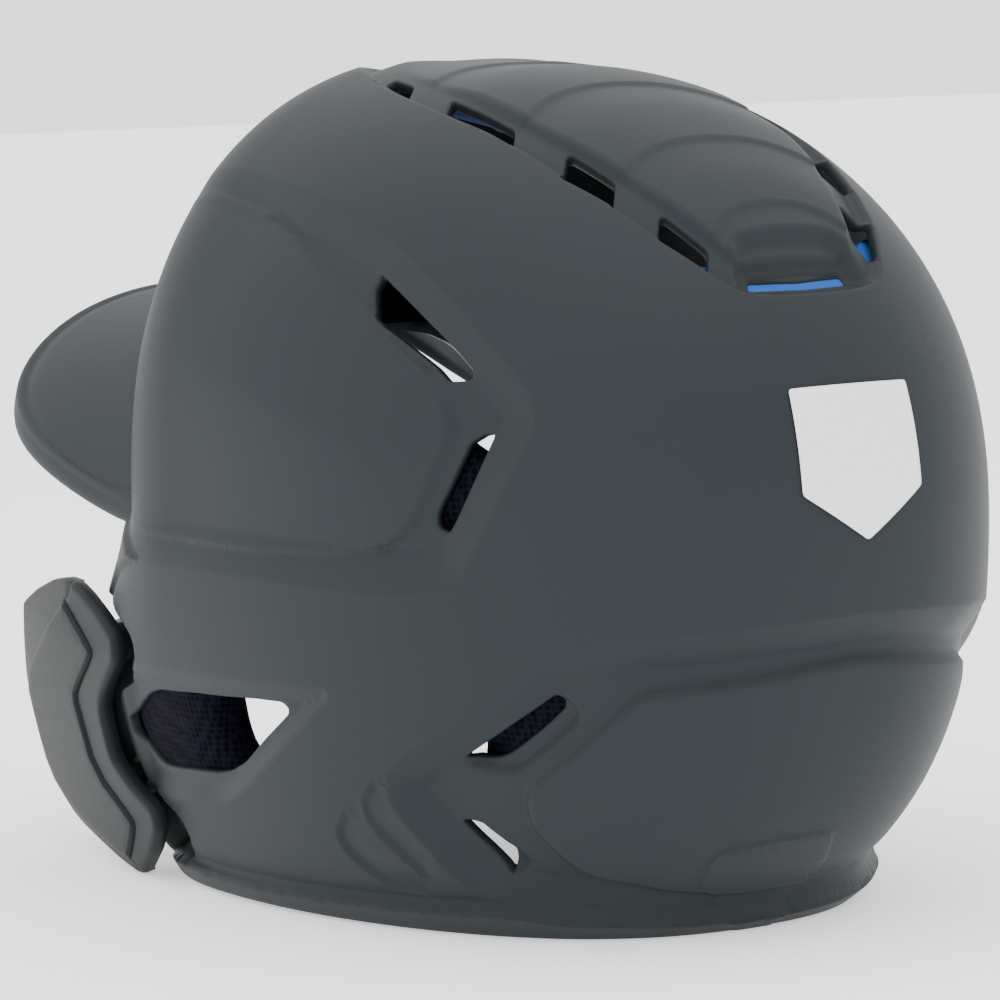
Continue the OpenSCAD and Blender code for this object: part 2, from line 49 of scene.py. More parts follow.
def to_frame(points):
    """Level millimetres to the shared frame in metres."""
    p = np.asarray(points, float)
    y = p[:, 1] * math.cos(TILT) + p[:, 2] * math.sin(TILT) + SHIFT
    z = -p[:, 1] * math.sin(TILT) + p[:, 2] * math.cos(TILT) + LIFT
    return np.column_stack([p[:, 0], y, z]) * 0.001


def from_frame(points):
    """The shared frame in metres to level millimetres."""
    p = np.asarray(points, float) * 1000.0
    y = p[:, 1] - SHIFT
    z = p[:, 2] - LIFT
    return np.column_stack([p[:, 0], y * math.cos(TILT) - z * math.sin(TILT),
                            y * math.sin(TILT) + z * math.cos(TILT)])


def axis_to_frame(v):
    v = np.asarray([v], float)
    return (to_frame(v) - to_frame(v * 0.0))[0] * 1000.0


# ---- Curves of the shell --------------------------------------------------------------

HALF_WIDTH = 100.0
FRONT_REACH = 69.0
FLAP_REACH = 112.0
REAR_REACH = 180.0
CROWN_RISE = 120.0
SIDE_DROP = 150.0
REAR_DROP = 128.8
BELT = 101.0
BELT_Y = -19.3
PLAN_POWER = 2.28
SIDE_POWER = 2.35
WALL = 3.2
CENTRE = np.array([0.0, BELT_Y, BELT])


def ease(t):
    t = np.clip(t, 0.0, 1.0)
    return t * t * (3.0 - 2.0 * t)


def reach(z):
    return FRONT_REACH + (FLAP_REACH - FRONT_REACH) * ease((100.0 - z) / 50.0)


def unit(v):
    return v / np.maximum(np.linalg.norm(v, axis=1, keepdims=True), 1e-12)


def skin(d):
    """Points of the plain shell in the given directions from its centre."""
    level = np.maximum(np.hypot(d[:, 0], d[:, 1]), 1e-9)
    cosb = np.abs(d[:, 0]) / level
    sinb = d[:, 1] / level
    w = np.maximum(sinb, 0.0) ** 2
    c = np.where(d[:, 2] > 0, CROWN_RISE, SIDE_DROP * (1 - w) + REAR_DROP * w)
    t = np.full(len(d), 105.0)
    for _ in range(14):
        b = np.where(sinb < 0, reach(BELT + t * d[:, 2]), REAR_REACH)
        size = ((cosb / HALF_WIDTH) ** PLAN_POWER + (np.abs(sinb) / b) ** PLAN_POWER) ** (-1 / PLAN_POWER)
        new = ((np.abs(d[:, 2]) / c) ** SIDE_POWER + (level / size) ** SIDE_POWER) ** (-1 / SIDE_POWER)
        t = 0.4 * t + 0.6 * new
    return CENTRE + d * t[:, None]


def to_chart(p):
    d = unit(p - CENTRE)
    return d[:, :2] / (1.0 + d[:, 2:3])


def chart_direction(uv):
    s = (uv ** 2).sum(1)
    return np.column_stack([2 * uv[:, 0], 2 * uv[:, 1], 1 - s]) / (1 + s)[:, None]


def on_skin(p):
    return skin(unit(p - CENTRE))


def bearing_point(bearing, z):
    """Point of the plain shell at a bearing, in degrees from the wearer's left, and a height."""
    b = np.radians(np.asarray(bearing, float))
    z = np.asarray(z, float)
    w = np.maximum(np.sin(b), 0) ** 2
    c = np.where(z > BELT, CROWN_RISE, SIDE_DROP * (1 - w) + REAR_DROP * w)
    k = np.maximum(1 - (np.abs(z - BELT) / c) ** SIDE_POWER, 1e-6) ** (1 / SIDE_POWER)
    fore = np.where(np.sin(b) < 0, reach(z), REAR_REACH)
    size = ((np.abs(np.cos(b)) / HALF_WIDTH) ** PLAN_POWER + (np.abs(np.sin(b)) / fore) ** PLAN_POWER)
    size = size ** (-1 / PLAN_POWER) * k
    return np.column_stack([size * np.cos(b), size * np.sin(b) + BELT_Y, z])


SIGHT_DISTANCE = 1228.0
SIGHT_TARGET = np.array([0.0, -7.0, 97.4])
SIGHT_TURN = math.radians(147.4)
SIGHT_RISE = math.radians(8.7)
SIGHT = -np.array([math.sin(SIGHT_TURN) * math.cos(SIGHT_RISE), -math.cos(SIGHT_TURN) * math.cos(SIGHT_RISE),
                   math.sin(SIGHT_RISE)])


def skin_normal(uv):
    e = 0.004
    du = skin(chart_direction(uv + [e, 0])) - skin(chart_direction(uv - [e, 0]))
    dv = skin(chart_direction(uv + [0, e])) - skin(chart_direction(uv - [0, e]))
    return unit(np.cross(du, dv))


def sunk(points, depth):
    """An outline on the plain shell, moved along the line of sight to its place in a deeper wall."""
    p = on_skin(np.asarray(points, float))
    n = skin_normal(to_chart(p))
    facing = np.minimum(n @ SIGHT, -0.3)
    return on_skin(p + n * depth - SIGHT * (depth / facing)[:, None])


def roof_at(points):
    """Points of the roof from their places in plan."""
    p = np.asarray(points, float)
    dy = p[:, 1] - BELT_Y
    b = np.where(dy < 0, FRONT_REACH, REAR_REACH)
    h = (np.abs(p[:, 0]) / HALF_WIDTH) ** PLAN_POWER + (np.abs(dy) / b) ** PLAN_POWER
    dz = CROWN_RISE * np.maximum(1 - h ** (SIDE_POWER / PLAN_POWER), 0) ** (1 / SIDE_POWER)
    return np.column_stack([p[:, 0], p[:, 1], BELT + dz])


def side_at(points):
    """Points of the left side from their distance behind the ears and height."""
    p = np.asarray(points, float)
    dy = p[:, 0] - BELT_Y
    x = np.full(len(p), 90.0)
    for _ in range(6):
        w = np.maximum(dy, 0) ** 2 / (x ** 2 + dy ** 2)
        c = np.where(p[:, 1] > BELT, CROWN_RISE, SIDE_DROP * (1 - w) + REAR_DROP * w)
        k = np.maximum(1 - (np.abs(p[:, 1] - BELT) / c) ** SIDE_POWER, 1e-6) ** (1 / SIDE_POWER)
        b = np.where(dy < 0, reach(p[:, 1]), REAR_REACH)
        x = HALF_WIDTH * k * np.maximum(1 - (np.abs(dy) / (b * k)) ** PLAN_POWER, 1e-4) ** (1 / PLAN_POWER)
    return np.column_stack([x, p[:, 0], p[:, 1]])


# ---- Lines on the shell ---------------------------------------------------------------

def rounded(p, rounds, closed):
    for _ in range(rounds):
        if closed:
            nxt = np.roll(p, -1, axis=0)
            p = np.column_stack([0.75 * p + 0.25 * nxt, 0.25 * p + 0.75 * nxt]).reshape(-1, p.shape[1])
        else:
            a = 0.75 * p[:-1] + 0.25 * p[1:]
            b = 0.25 * p[:-1] + 0.75 * p[1:]
            p = np.vstack([p[:1], np.column_stack([a, b]).reshape(-1, p.shape[1]), p[-1:]])
    return p


def filleted(p, radius):
    """A closed line of corners with each corner rounded off."""
    p = np.asarray(p, float)
    out = []
    for i, corner in enumerate(p):
        before = p[i - 1] - corner
        after = p[(i + 1) % len(p)] - corner
        a = corner + before * min(radius / np.linalg.norm(before), 0.45)
        b = corner + after * min(radius / np.linalg.norm(after), 0.45)
        for t in (0.0, 0.25, 0.5, 0.75, 1.0):
            out.append((1 - t) ** 2 * a + 2 * t * (1 - t) * corner + t * t * b)
    return np.array(out)


def spaced(p, step, closed):
    """The line with its points an even step apart."""
    if closed:
        p = np.vstack([p, p[:1]])
    length = np.concatenate([[0], np.cumsum(np.linalg.norm(np.diff(p, axis=0), axis=1))])
    count = max(int(round(length[-1] / step)), 3)
    at = np.linspace(0, length[-1], count + 1)
    q = np.column_stack([np.interp(at, length, p[:, i]) for i in range(p.shape[1])])
    return q[:-1] if closed else q


def inside(polygon, points):
    """Even-odd test of chart points against a closed polygon."""
    hit = np.zeros(len(points), bool)
    low, high = polygon.min(0), polygon.max(0)
    near = np.all((points >= low) & (points <= high), axis=1)
    q = points[near]
    found = np.zeros(len(q), bool)
    a = polygon
    b = np.roll(polygon, -1, axis=0)
    for (x1, y1), (x2, y2) in zip(a, b):
        if y1 == y2:
            continue
        cross = ((y1 > q[:, 1]) != (y2 > q[:, 1])) & (q[:, 0] < (x2 - x1) * (q[:, 1] - y1) / (y2 - y1) + x1)
        found ^= cross
    hit[near] = found
    return hit


class Crease:
    """A line on the shell with an inside, so that relief can depend on the distance from it."""

    def __init__(self, points, close=None, rounds=2, step=1.3, both=True, width=22.0):
        closed = close is None
        line = rounded(np.asarray(points, float), rounds, closed)
        self.line = on_skin(spaced(on_skin(line), step, closed))
        self.closed = closed
        self.both = both
        self.width = width
        chart = to_chart(self.line)
        if not closed and len(close):
            chart = np.vstack([chart, to_chart(np.asarray(close, float))])
        self.loop = chart

    def distance(self, p, uv):
        """Distance from the line in millimetres, above zero inside it."""
        if self.both:
            p = p * [1, 1, 1]
            uv = uv.copy()
            p[:, 0] = np.abs(p[:, 0])
            uv[:, 0] = np.abs(uv[:, 0])
        sign = np.where(inside(self.loop, uv), 1.0, -1.0)
        out = np.full(len(p), 1e3)
        low = self.line.min(0) - self.width
        high = self.line.max(0) + self.width
        near = np.flatnonzero(np.all((p >= low) & (p <= high), axis=1))
        line = self.line
        after = np.roll(line, -1, axis=0)
        if not self.closed:
            line, after = line[:-1], after[:-1]
        seg = after - line
        size = np.maximum((seg ** 2).sum(1), 1e-9)
        for start in range(0, len(near), 4000):
            ids = near[start:start + 4000]
            q = p[ids]
            rough = ((q[:, None, :] - line[None, :, :]) ** 2).sum(2)
            best = rough.argmin(1)
            d = np.full(len(q), 1e3)
            for k in (-1, 0):
                i = best + k
                i = i % len(line) if self.closed else np.clip(i, 0, len(line) - 1)
                t = np.clip(((q - line[i]) * seg[i]).sum(1) / size[i], 0, 1)
                d = np.minimum(d, np.linalg.norm(q - line[i] - seg[i] * t[:, None], axis=1))
            out[ids] = d
        return out * sign

    def rows(self, offsets):
        """Rows of points beside the line at distances from it, above zero inside it."""
        line = self.line
        if self.closed:
            tangent = unit(np.roll(line, -1, axis=0) - np.roll(line, 1, axis=0))
        else:
            tangent = unit(np.gradient(line, axis=0))
        normal = skin_normal(to_chart(line))
        across = unit(np.cross(normal, tangent))
        test = inside(self.loop, to_chart(line + across * 0.8)).mean()
        if test < 0.5:
            across = -across
        rows = [to_chart(line + across * w) for w in offsets]
        rows = np.vstack(rows)
        if self.both:
            rows = rows[rows[:, 0] >= 0]
            rows = np.vstack([rows, rows * [-1, 1]])
        return rows


# ---- Relief of the shell --------------------------------------------------------------

roof_edge = Crease(
    roof_at([(0, -50), (14, -46), (26, -38), (33, -27), (38, -12), (42.5, 1.5), (45.2, 20), (45.9, 38),
             (45.3, 54),
             (43.9, 69), (42.1, 88.6), (37.9, 104.4), (33.2, 118), (27, 129.3), (22, 135.6), (11.7, 138.8),
             (0, 139.4)]),
    close=[])
roof_panel = Crease(
    roof_at([(0, -40), (10, -36), (19, -29), (26, -18), (31, -6), (33.4, 4), (35, 18), (35.7, 32), (36.4, 46),
             (36.2, 58.5), (34.5, 78.6), (30.9, 95.8), (26.4, 111), (22.6, 121), (18.6, 129.4), (10, 130.8),
             (0, 131)]),
    close=[])
scales = [Crease(roof_at(line), close=roof_at([(60, 190), (0, 190)]), width=40.0) for line in (
    [(0, 4), (10, 4.5), (20, 6), (28, 9), (38, 16)],
    [(0, 50), (10, 50.5), (20, 52.5), (29, 56), (40, 63)],
    [(0, 89.5), (10, 90), (18, 91.5), (25, 94), (36, 100)],
    [(0, 116.5), (8, 117), (14, 118.5), (19, 121.5), (28, 128)])]
slot_scoop = Crease([(0, 120, 182), (10, 121, 182), (15.8, 121, 180.6), (19.6, 125, 176), (21, 130, 170.5),
                     (20.6, 133, 167.9), (12, 134.4, 167.6), (0, 134.8, 167.5)], close=[])

chevron = Crease(
    [(66, -52, 184), (70, -35, 187.5), (73, -10, 189.5), (74.6, 15, 188), (74, 36.5, 185), (73.8, 58, 179),
     (73, 78, 169), (70.8, 99.2, 156.5), (68.3, 110.4, 148), (67.7, 115.7, 140.3), (68.9, 115.9, 135.4),
     (73.8, 111.4, 122.9), (76.6, 107.6, 112.6), (78.9, 103.4, 103.6), (80, 100, 98), (82.5, 95, 94),
     (87, 82, 91.5),
     (95, 46, 90), (98.7, 16, 88.7), (99.6, -1, 88), (98, -35, 85), (95, -50, 84)],
    close=[(80, -70, 100), (60, -75, 150)])
chevron_inner = Crease(
    sunk(side_at([(-40, 182), (-15, 184.5), (9, 182), (31, 174), (43, 168), (58, 161.5), (74, 153),
                  (87, 146), (93, 139.5),
             (95.2, 134), (93, 127), (91, 121), (88.5, 114), (84, 107.5), (74, 102), (50, 98.5), (16, 96),
             (-10, 95),
             (-35, 94)]), 2.8),
    close=side_at([(-60, 100), (-62, 170)]))
vent_a_scoop = Crease(
    [(79.1, 58.2, 170.2), (82.6, 56.4, 164), (83.6, 57.3, 161.2), (83.6, 64.6, 156.7), (80.3, 86.4, 146),
     (78.8, 90.4, 145.8), (77.1, 93.9, 146.6), (75.5, 97, 148.2), (75.7, 95, 151), (76.4, 88.8, 155),
     (78, 73, 163.5),
     (78.9, 60, 170.8)], rounds=1)
vent_b_scoop = Crease(
    [(75, 105.3, 134.9), (77.4, 100.6, 134.2), (79.2, 97.3, 132), (80.9, 95.3, 126.5), (83.6, 90.9, 116.8),
     (84, 90.4, 112.6), (83.2, 92.9, 109.1), (82.2, 95.6, 108.7), (79, 100, 121), (75.4, 105.2, 133.6)],
     rounds=1)

ear_recess = Crease(
    side_at([(-58, 15), (-49, 16.4), (-32, 18.4), (-19, 20), (-9, 21), (-1, 23.7), (8, 28.5), (23, 38),
             (41, 51),
             (58.5, 64.4), (42, 62.7), (18, 61), (-12, 58), (-24, 57), (-47, 53), (-60, 52)]), rounds=2)

ledge = Crease(
    [(0, 160.4, 91), (14, 158.6, 90.4), (28, 156, 89.6), (38, 151, 88), (50, 143, 87), (57, 136, 85.7),
     (62.7, 129, 84), (67.6, 122, 81.6), (70.5, 117, 78), (75.6, 105, 68), (80, 91, 58.6), (83, 76, 49),
     (84, 70, 43),
     (82.6, 68, 36), (80, 71, 32), (72, 77, 20.6), (65.5, 81, 13), (60.5, 87, 11), (56, 92, 8), (50, 100, 6),
     (36, 116, 5), (18, 122, 5), (0, 124, 5)],
    close=[])
rear_panel = Crease(
    [(0, 152, 80), (8, 150.5, 79.6), (16, 149, 78.7), (31, 144, 76.5), (46, 138, 74), (52, 135, 72),
     (56.2, 133.8, 67.2),
     (61.8, 123.5, 56.2), (67.2, 110.2, 45.4), (67.5, 106.3, 40.4), (66.2, 104.8, 35.6), (63.3, 104.4, 29.9),
     (52.9, 107.6, 19.4), (48, 109.6, 16.5), (41.5, 113.2, 14.8), (24, 118, 13.4), (0, 121, 13)],
    close=[])
vent_c_scoop = Crease(
    [(77.9, 90.7, 47.4), (77.1, 91.9, 46.5), (72.4, 100.8, 45), (69.9, 105.6, 45.4), (68.6, 109.1, 47.3),
     (62.8, 123.8, 60.2), (62.3, 125.5, 63), (63, 125.5, 65.7), (65.5, 123.1, 69.5), (66.9, 121.2, 69.9),
     (70, 115, 65.8), (75, 101, 55.5)], rounds=1)
vent_d_scoop = Crease(
    [(73.7, 85.7, 30.4), (71, 91.6, 30.6), (65.3, 96.6, 25.4), (60.3, 99.5, 20.7), (59.1, 98.8, 18.6),
     (59, 95.3, 15.6), (60.1, 92.9, 15), (67, 89, 22.6)], rounds=1)
ripples = [
    Crease([(85, 49.8, 29.2), (84.2, 45, 24.2), (82.1, 44.7, 19), (78.9, 48.6, 14.5), (74.1, 55.8, 10),
            (69.9, 65.5, 9.2)], close=[(74, 84, 20), (83, 70, 40)]),
    Crease([(85, 63.3, 39.7), (84.5, 58.3, 33.8), (82.5, 58.2, 28.3), (78.6, 63.3, 22.7), (73.3, 67.9, 15.9)],
           close=[(72, 84, 24), (80, 78, 42)])]
plate = Crease([(23, 124, 14.6), (26.1, 133.2, 26.3), (14.3, 138, 28.4), (-4.2, 139.7, 29.3), (-9, 138, 28),
                (-11.5, 133, 22), (-13, 129, 17)], close=[(0, 110, 0)], both=False)

bead = Crease(
    side_at([(-84, -6), (-66, -3), (-52, -1), (-40, 0), (-15, 1.2), (11, 3.6), (44, 6.4), (70, 8.6)]).tolist()
    + [(60, 88, 9.6), (48, 99, 10.4), (36, 108, 11), (20, 114, 11.4), (0, 117, 11.6)],
    close=[(0, 110, -70), (40, 96, -80), (74, 60, -80), (90, 0, -90), (94, -60, -90), (80, -110, -60)],
    width=30.0)
pocket = Crease(
    side_at([(-88, 72), (-76, 70), (-66, 68), (-54, 66.4), (-46, 64.5), (-41.6, 61), (-43, 55.5), (-50, 49),
             (-64, 43),
             (-69.5, 37), (-69.5, 29), (-63, 20), (-50, 15.8), (-37.6, 13), (-35, 8), (-37.4, 3), (-42, -4),
             (-46, -14),
             (-48, -24)]),
    close=side_at([(-60, -30), (-100, 0), (-105, 60)]), both=False)
temple_band = Crease(
    side_at([(-66, 98), (-52, 92.4), (-41, 87.6), (-34.4, 85.6), (-39.7, 83.8), (-50, 80.8), (-59, 77.6),
             (-68, 72),
             (-78, 64)]),
    close=side_at([(-100, 64), (-104, 90), (-90, 104)]))

ROOF_ROWS = (-4, -2, -0.9, 0, 0.8, 1.7, 2.6, 4)
PANEL_ROWS = (-7.5, -6, -4.4, -3, -1.6, -0.6, 0.4, 1.6, 3)
BAND_ROWS = (-2.2, -0.8, 0, 0.8, 2.4, 4.8, 7.2, 9.4, 11, 12, 13.6)
SCOOP_ROWS = (-0.9, 0, 1.0, 2.0, 3.0)


def bounded(t):
    return np.clip(t, 0.0, 1.0)


def guard_x(y, z):
    """Outside of the jaw guard at a distance behind the ears and a height."""
    ahead = np.maximum(-43.0 - y, 0)
    low = np.maximum(56.0 - z, 0)
    tip = np.maximum(-140.0 - y, 0)
    return (98.0 - 0.08 * ahead - 0.0006 * ahead ** 2 - 0.11 * low - 0.0014 * low ** 2
            - 0.05 * tip ** 2)


def shell_relief(p, uv):
    """Height of the outside above the plain shell."""
    y, z = p[:, 1], p[:, 2]
    height = -2.6 * bounded(roof_edge.distance(p, uv) / 1.7)
    on_panel = roof_panel.distance(p, uv)
    height += 0.8 * bounded((on_panel + 8.0) / 7.4)
    height += (0.2 + 2.2 * ease((y + 15.0) / 65.0)) * ease((on_panel + 1.1) / 2.6)
    height += -1.0 * ease((25.0 - y) / 55.0) * ease(on_panel / 12.0)
    inner = ease((on_panel + 1.0) / 3.0)
    for crease in scales:
        s = crease.distance(p, uv)
        height += -0.7 * inner * ease(s / 2.0) * (1 - ease((s - 2.0) / 20.0))
    height += -3.4 * ease(slot_scoop.distance(p, uv) / 5.0)

    fade = ease((y + 62.0) / 62.0)
    s = chevron.distance(p, uv)
    soft = ease((100.0 - z) / 12.0)
    height += -(4.2 - 1.8 * soft) * fade * bounded(s / 11.0)
    s = chevron_inner.distance(p, uv)
    height += fade * np.where(s > -3, (1.5 - soft) * ease((s + 1.0) / 2.0) + 2.6 * ease((s - 2) / 55.0), 0.0)
    height += -3.6 * ease(vent_a_scoop.distance(p, uv) / 3.6)
    height += -3.4 * ease(vent_b_scoop.distance(p, uv) / 3.2)

    height += -2.0 * bounded(ear_recess.distance(p, uv) / 5.0)

    s = ledge.distance(p, uv)
    height += -5.2 * bounded(s / 9.6)
    height += 2.4 * ease((rear_panel.distance(p, uv) + 0.4) / 3.0)
    height += 0.55 * ease((plate.distance(p, uv) + 0.4) / 0.8)
    for crease in ripples:
        s = crease.distance(p, uv)
        height += -1.0 * ease(s / 1.4) * (1 - ease((s - 1.4) / 11.0))
    height += -2.2 * ease(vent_c_scoop.distance(p, uv) / 3.0)
    height += -2.0 * ease(vent_d_scoop.distance(p, uv) / 3.0)

    lip = ease((bead.distance(p, uv) + 0.2) / 1.6) * ease((y + 78.0) / 6.0) * ease((16.0 - z) / 4.0)
    height += 3.2 * lip
    sunken = bounded(pocket.distance(p, uv) / 1.4) * (1 - lip)
    forward = ease((-66.0 - y) / 9.0) * ease((62.0 - z) / 8.0)
    under_guard = np.clip((guard_x(y, z) - 6.0 - p[:, 0]) / 0.8, -4.6, 4.0)
    height += sunken * (-4.6 * (1 - forward) + under_guard * forward)
    height += 1.5 * ease((temple_band.distance(p, uv) + 0.5) / 3.0)
    flare = ease((-44.0 - y) / 56.0) * ease((z - 82.0) / 20.0) * ease((176.0 - z) / 44.0)
    height += 7.0 * flare ** 1.5
    return height


def ring_grid(low, high, step, spacing):
    """Chart points in rings round the shell, for the plain areas."""
    out = []
    rise = low
    while rise < high:
        e = math.radians(rise)
        turn = np.linspace(0, 2 * math.pi, 400, endpoint=False)
        d = np.column_stack([np.cos(turn) * math.cos(e), np.sin(turn) * math.cos(e),
                             np.full(400, math.sin(e))])
        ring = skin(d)
        out.append(to_chart(spaced(ring, spacing, True)))
        rise += step
    out.append(np.array([[0.0, 0.0]]))
    return np.vstack(out)


def thinned(points, keep, gap):
    """Points further than the gap from those already kept, both measured on the shell."""
    cells = np.floor(skin(chart_direction(keep)) / gap).astype(np.int64) + 4000
    own = np.floor(skin(chart_direction(points)) / gap).astype(np.int64) + 4000
    code = np.array([1, 10000, 100000000])
    taken = set()
    taken_codes = []
    for dx in (-1, 0, 1):
        for dy in (-1, 0, 1):
            for dz in (-1, 0, 1):
                taken_codes.append(((cells + [dx, dy, dz]) * code).sum(1))
    taken = np.unique(np.concatenate(taken_codes))
    return points[~np.isin((own * code).sum(1), taken)]


def distinct(points, gap):
    cells = np.floor(skin(chart_direction(points)) / gap).astype(np.int64) + 4000
    _, first = np.unique((cells * [1, 10000, 100000000]).sum(1), return_index=True)
    return points[np.sort(first)]


# ---- Sheets with a wall ---------------------------------------------------------------

def oriented(uv, clockwise):
    x, y = uv[:, 0], uv[:, 1]
    area = (x * np.roll(y, -1) - np.roll(x, -1) * y).sum()
    return (area < 0) == clockwise


def sheet_mesh(loops, outer_points, inner_points, flatten, place, normal_at, relief, inner_relief, wall,
               roll):
    """Closed mesh of a moulded sheet: the outside, the rolled edges of its outline and holes, and the inside.

    loops are closed lines on the plain surface, the outline first. flatten takes points to the chart,
    place takes chart points to the plain surface and normal_at to its normals.
    """
    loops = [p if oriented(flatten(p), i > 0) else p[::-1] for i, p in enumerate(loops)]
    across = []
    for p in loops:
        tangent = unit(np.roll(p, -1, axis=0) - np.roll(p, 1, axis=0))
        across.append(unit(np.cross(normal_at(flatten(p)), tangent)))

    def triangulated(edge_loops, interior):
        polygons = edge_loops
        ok = inside(polygons[0], interior)
        for polygon in polygons[1:]:
            ok &= ~inside(polygon, interior)
        interior = interior[ok]
        points = np.vstack(polygons + [interior])
        edges = []
        start = 0
        for polygon in polygons:
            n = len(polygon)
            edges += [(start + i, start + (i + 1) % n) for i in range(n)]
            start += n
        result = delaunay_2d_cdt([Vector(p) for p in points.tolist()], edges, [], 0, 1e-7, True)
        origin = np.array([(o[0] if o else -1) for o in result[3]])
        made = np.array([tuple(v) for v in result[0]])
        tri = np.array([f for f in result[2] if len(f) == 3])
        middle = made[tri].mean(1)
        ok = inside(polygons[0], middle)
        for polygon in polygons[1:]:
            ok &= ~inside(polygon, middle)
        tri = tri[ok]
        extra = np.flatnonzero(origin < 0)
        if len(extra):
            origin[extra] = len(points) + np.arange(len(extra))
            points = np.vstack([points, made[extra]])
        return points, origin[tri]

    rolls = [(math.radians(a), roll) for a in (0, 30, 60, 90)]
    first = [flatten(p + m * roll) for p, m in zip(loops, across)]
    uv, tri = triangulated(first, outer_points)
    base = place(uv)
    verts = [base + normal_at(uv) * relief(base, uv)[:, None]]
    faces = [tri]
    count = len(uv)
    edge_height = relief(base[:sum(map(len, loops))], uv[:sum(map(len, loops))])

    ring_ids = []
    start = 0
    for p in loops:
        ring_ids.append([np.arange(start, start + len(p))])
        start += len(p)
    for angle, r in rolls[1:]:
        start = 0
        for k, (p, m) in enumerate(zip(loops, across)):
            w = r * (1 - math.sin(angle))
            ring_uv = flatten(p + m * w)
            h = edge_height[start:start + len(p)] - r * (1 - math.cos(angle))
            verts.append(place(ring_uv) + normal_at(ring_uv) * h[:, None])
            ring_ids[k].append(np.arange(count, count + len(p)))
            count += len(p)
            start += len(p)
    start = 0
    for k, (p, m) in enumerate(zip(loops, across)):
        ring_uv = flatten(p)
        h = edge_height[start:start + len(p)] - wall + 0.5
        verts.append(place(ring_uv) + normal_at(ring_uv) * h[:, None])
        ring_ids[k].append(np.arange(count, count + len(p)))
        count += len(p)
        start += len(p)
    second = [flatten(p + m * 0.5) for p, m in zip(loops, across)]
    uv, tri = triangulated(second, inner_points)
    base = place(uv)
    verts.append(base + normal_at(uv) * (inner_relief(base, uv) - wall)[:, None])
    faces.append(tri[:, ::-1] + count)
    start = 0
    for k, p in enumerate(loops):
        ring_ids[k].append(np.arange(count + start, count + start + len(p)))
        start += len(p)
    quads = []
    for rings in ring_ids:
        for a, b in zip(rings[:-1], rings[1:]):
            quads.append(np.column_stack([a, b, np.roll(b, -1), np.roll(a, -1)]))
    return np.vstack(verts), [np.vstack(faces), np.vstack(quads)]


def on_rest(points):
    """Nothing of the helmet goes below the face that it rests on."""
    points[:, 2] = np.maximum(points[:, 2], 0.00005)
    return points


def new_object(name, verts, faces, level=True):
    """Smooth shaded object. level says that the points are level millimetres."""
    points = on_rest(to_frame(verts)) if level else np.asarray(verts, float)
    mesh = bpy.data.meshes.new(name)
    mesh.from_pydata(points.tolist(), [], [f for group in faces for f in np.asarray(group).tolist()])
    mesh.validate()
    mesh.polygons.foreach_set("use_smooth", [True] * len(mesh.polygons))
    mesh.update()
    obj = bpy.data.objects.new(name, mesh)
    bpy.context.scene.collection.objects.link(obj)
    return obj


# ---- Shell ----------------------------------------------------------------------------

RIM_CLEARANCE = 2.3


def lower_edge():
    """The outline of the shell's opening and rim, as a closed line."""
    table = np.array([(0, 138), (10, 137), (20, 135), (28, 130), (34, 120), (38, 108), (42, 94), (45.8, 78),
                      (46.6, 62),
                      (47, 42), (47.4, 24), (47.8, 8), (48.4, -6), (50.6, -16), (110, -16), (150, -16),
                      (180, -16)], float)
    angle = np.linspace(0, 180, 241)
    z = np.interp(angle, table[:, 0], table[:, 1])
    for _ in range(10):
        z[1:-1] = 0.5 * z[1:-1] + 0.25 * (z[:-2] + z[2:])
    height = z.copy()
    for _ in range(12):
        edge = bearing_point(angle - 90.0, height)
        floor = (edge[:, 1] * math.sin(TILT) - LIFT) / math.cos(TILT) + RIM_CLEARANCE
        height = np.maximum(z, floor)
    left = np.column_stack([edge[:, :2], height])
    right = left[1:-1][::-1] * [-1, 1, 1]
    return on_skin(spaced(np.vstack([left, right]), 1.9, True))


def mirrored(p):
    return p * [-1, 1, 1]


def hole(points, radius=1.6, step=0.8):
    return on_skin(spaced(filleted(points, radius), step, True))


roof_vents = [hole(roof_at(v), radius=1.5) for v in (
    [(34.5, -6.5), (36.4, 6.5), (42.2, 12.4), (40.0, -5)],
    [(38, 28.5), (38.6, 59.9), (44, 66.3), (44.6, 34.5)],
    [(35.3, 79.8), (32.2, 96.8), (37.6, 103.3), (42.4, 87.2)],
    [(28.1, 111.4), (22.9, 125), (26.4, 129.4), (33.4, 117.4)])]
rear_slot = hole([(15.5, 135, 171.6), (0, 137, 171), (-15.5, 135, 171.6), (-15, 132.9, 174), (0, 134, 173.4),
                  (15, 132.9, 174)], radius=1.0, step=0.7)
vent_a = hole([(78.9, 56.4, 171.4), (78, 76.8, 161.4), (76.4, 88.7, 154.7), (75.4, 95.5, 149.8),
               (76.3, 94.9, 147.8),
               (77.9, 91.7, 147.2), (79.2, 88.2, 146.8), (80.2, 82.8, 150.2), (83, 63, 158.8),
               (83.2, 59, 161),
               (81, 55.8, 168)], radius=1.2)
vent_b = hole([(75.3, 104.6, 134.7), (76.7, 102, 134.5), (79, 98.3, 131.8), (82, 94.8, 122),
               (84, 90.5, 113.2),
               (84.2, 90.8, 109.6), (82.8, 94.2, 108.4), (81.9, 96, 111.3)], radius=1.2)
vent_c = hole([(77.6, 92.6, 49.1), (75.8, 99.2, 53.6), (72.3, 109.6, 60.9), (67.4, 120.2, 69.1),
               (66.5, 121.4, 68.3),
               (66, 121.1, 65.1), (67.8, 116.9, 60.7), (70.1, 111, 55.6), (72.2, 104.8, 50.8),
               (73.3, 101.8, 49.3),
               (74.8, 98.4, 48.5)], radius=1.2)
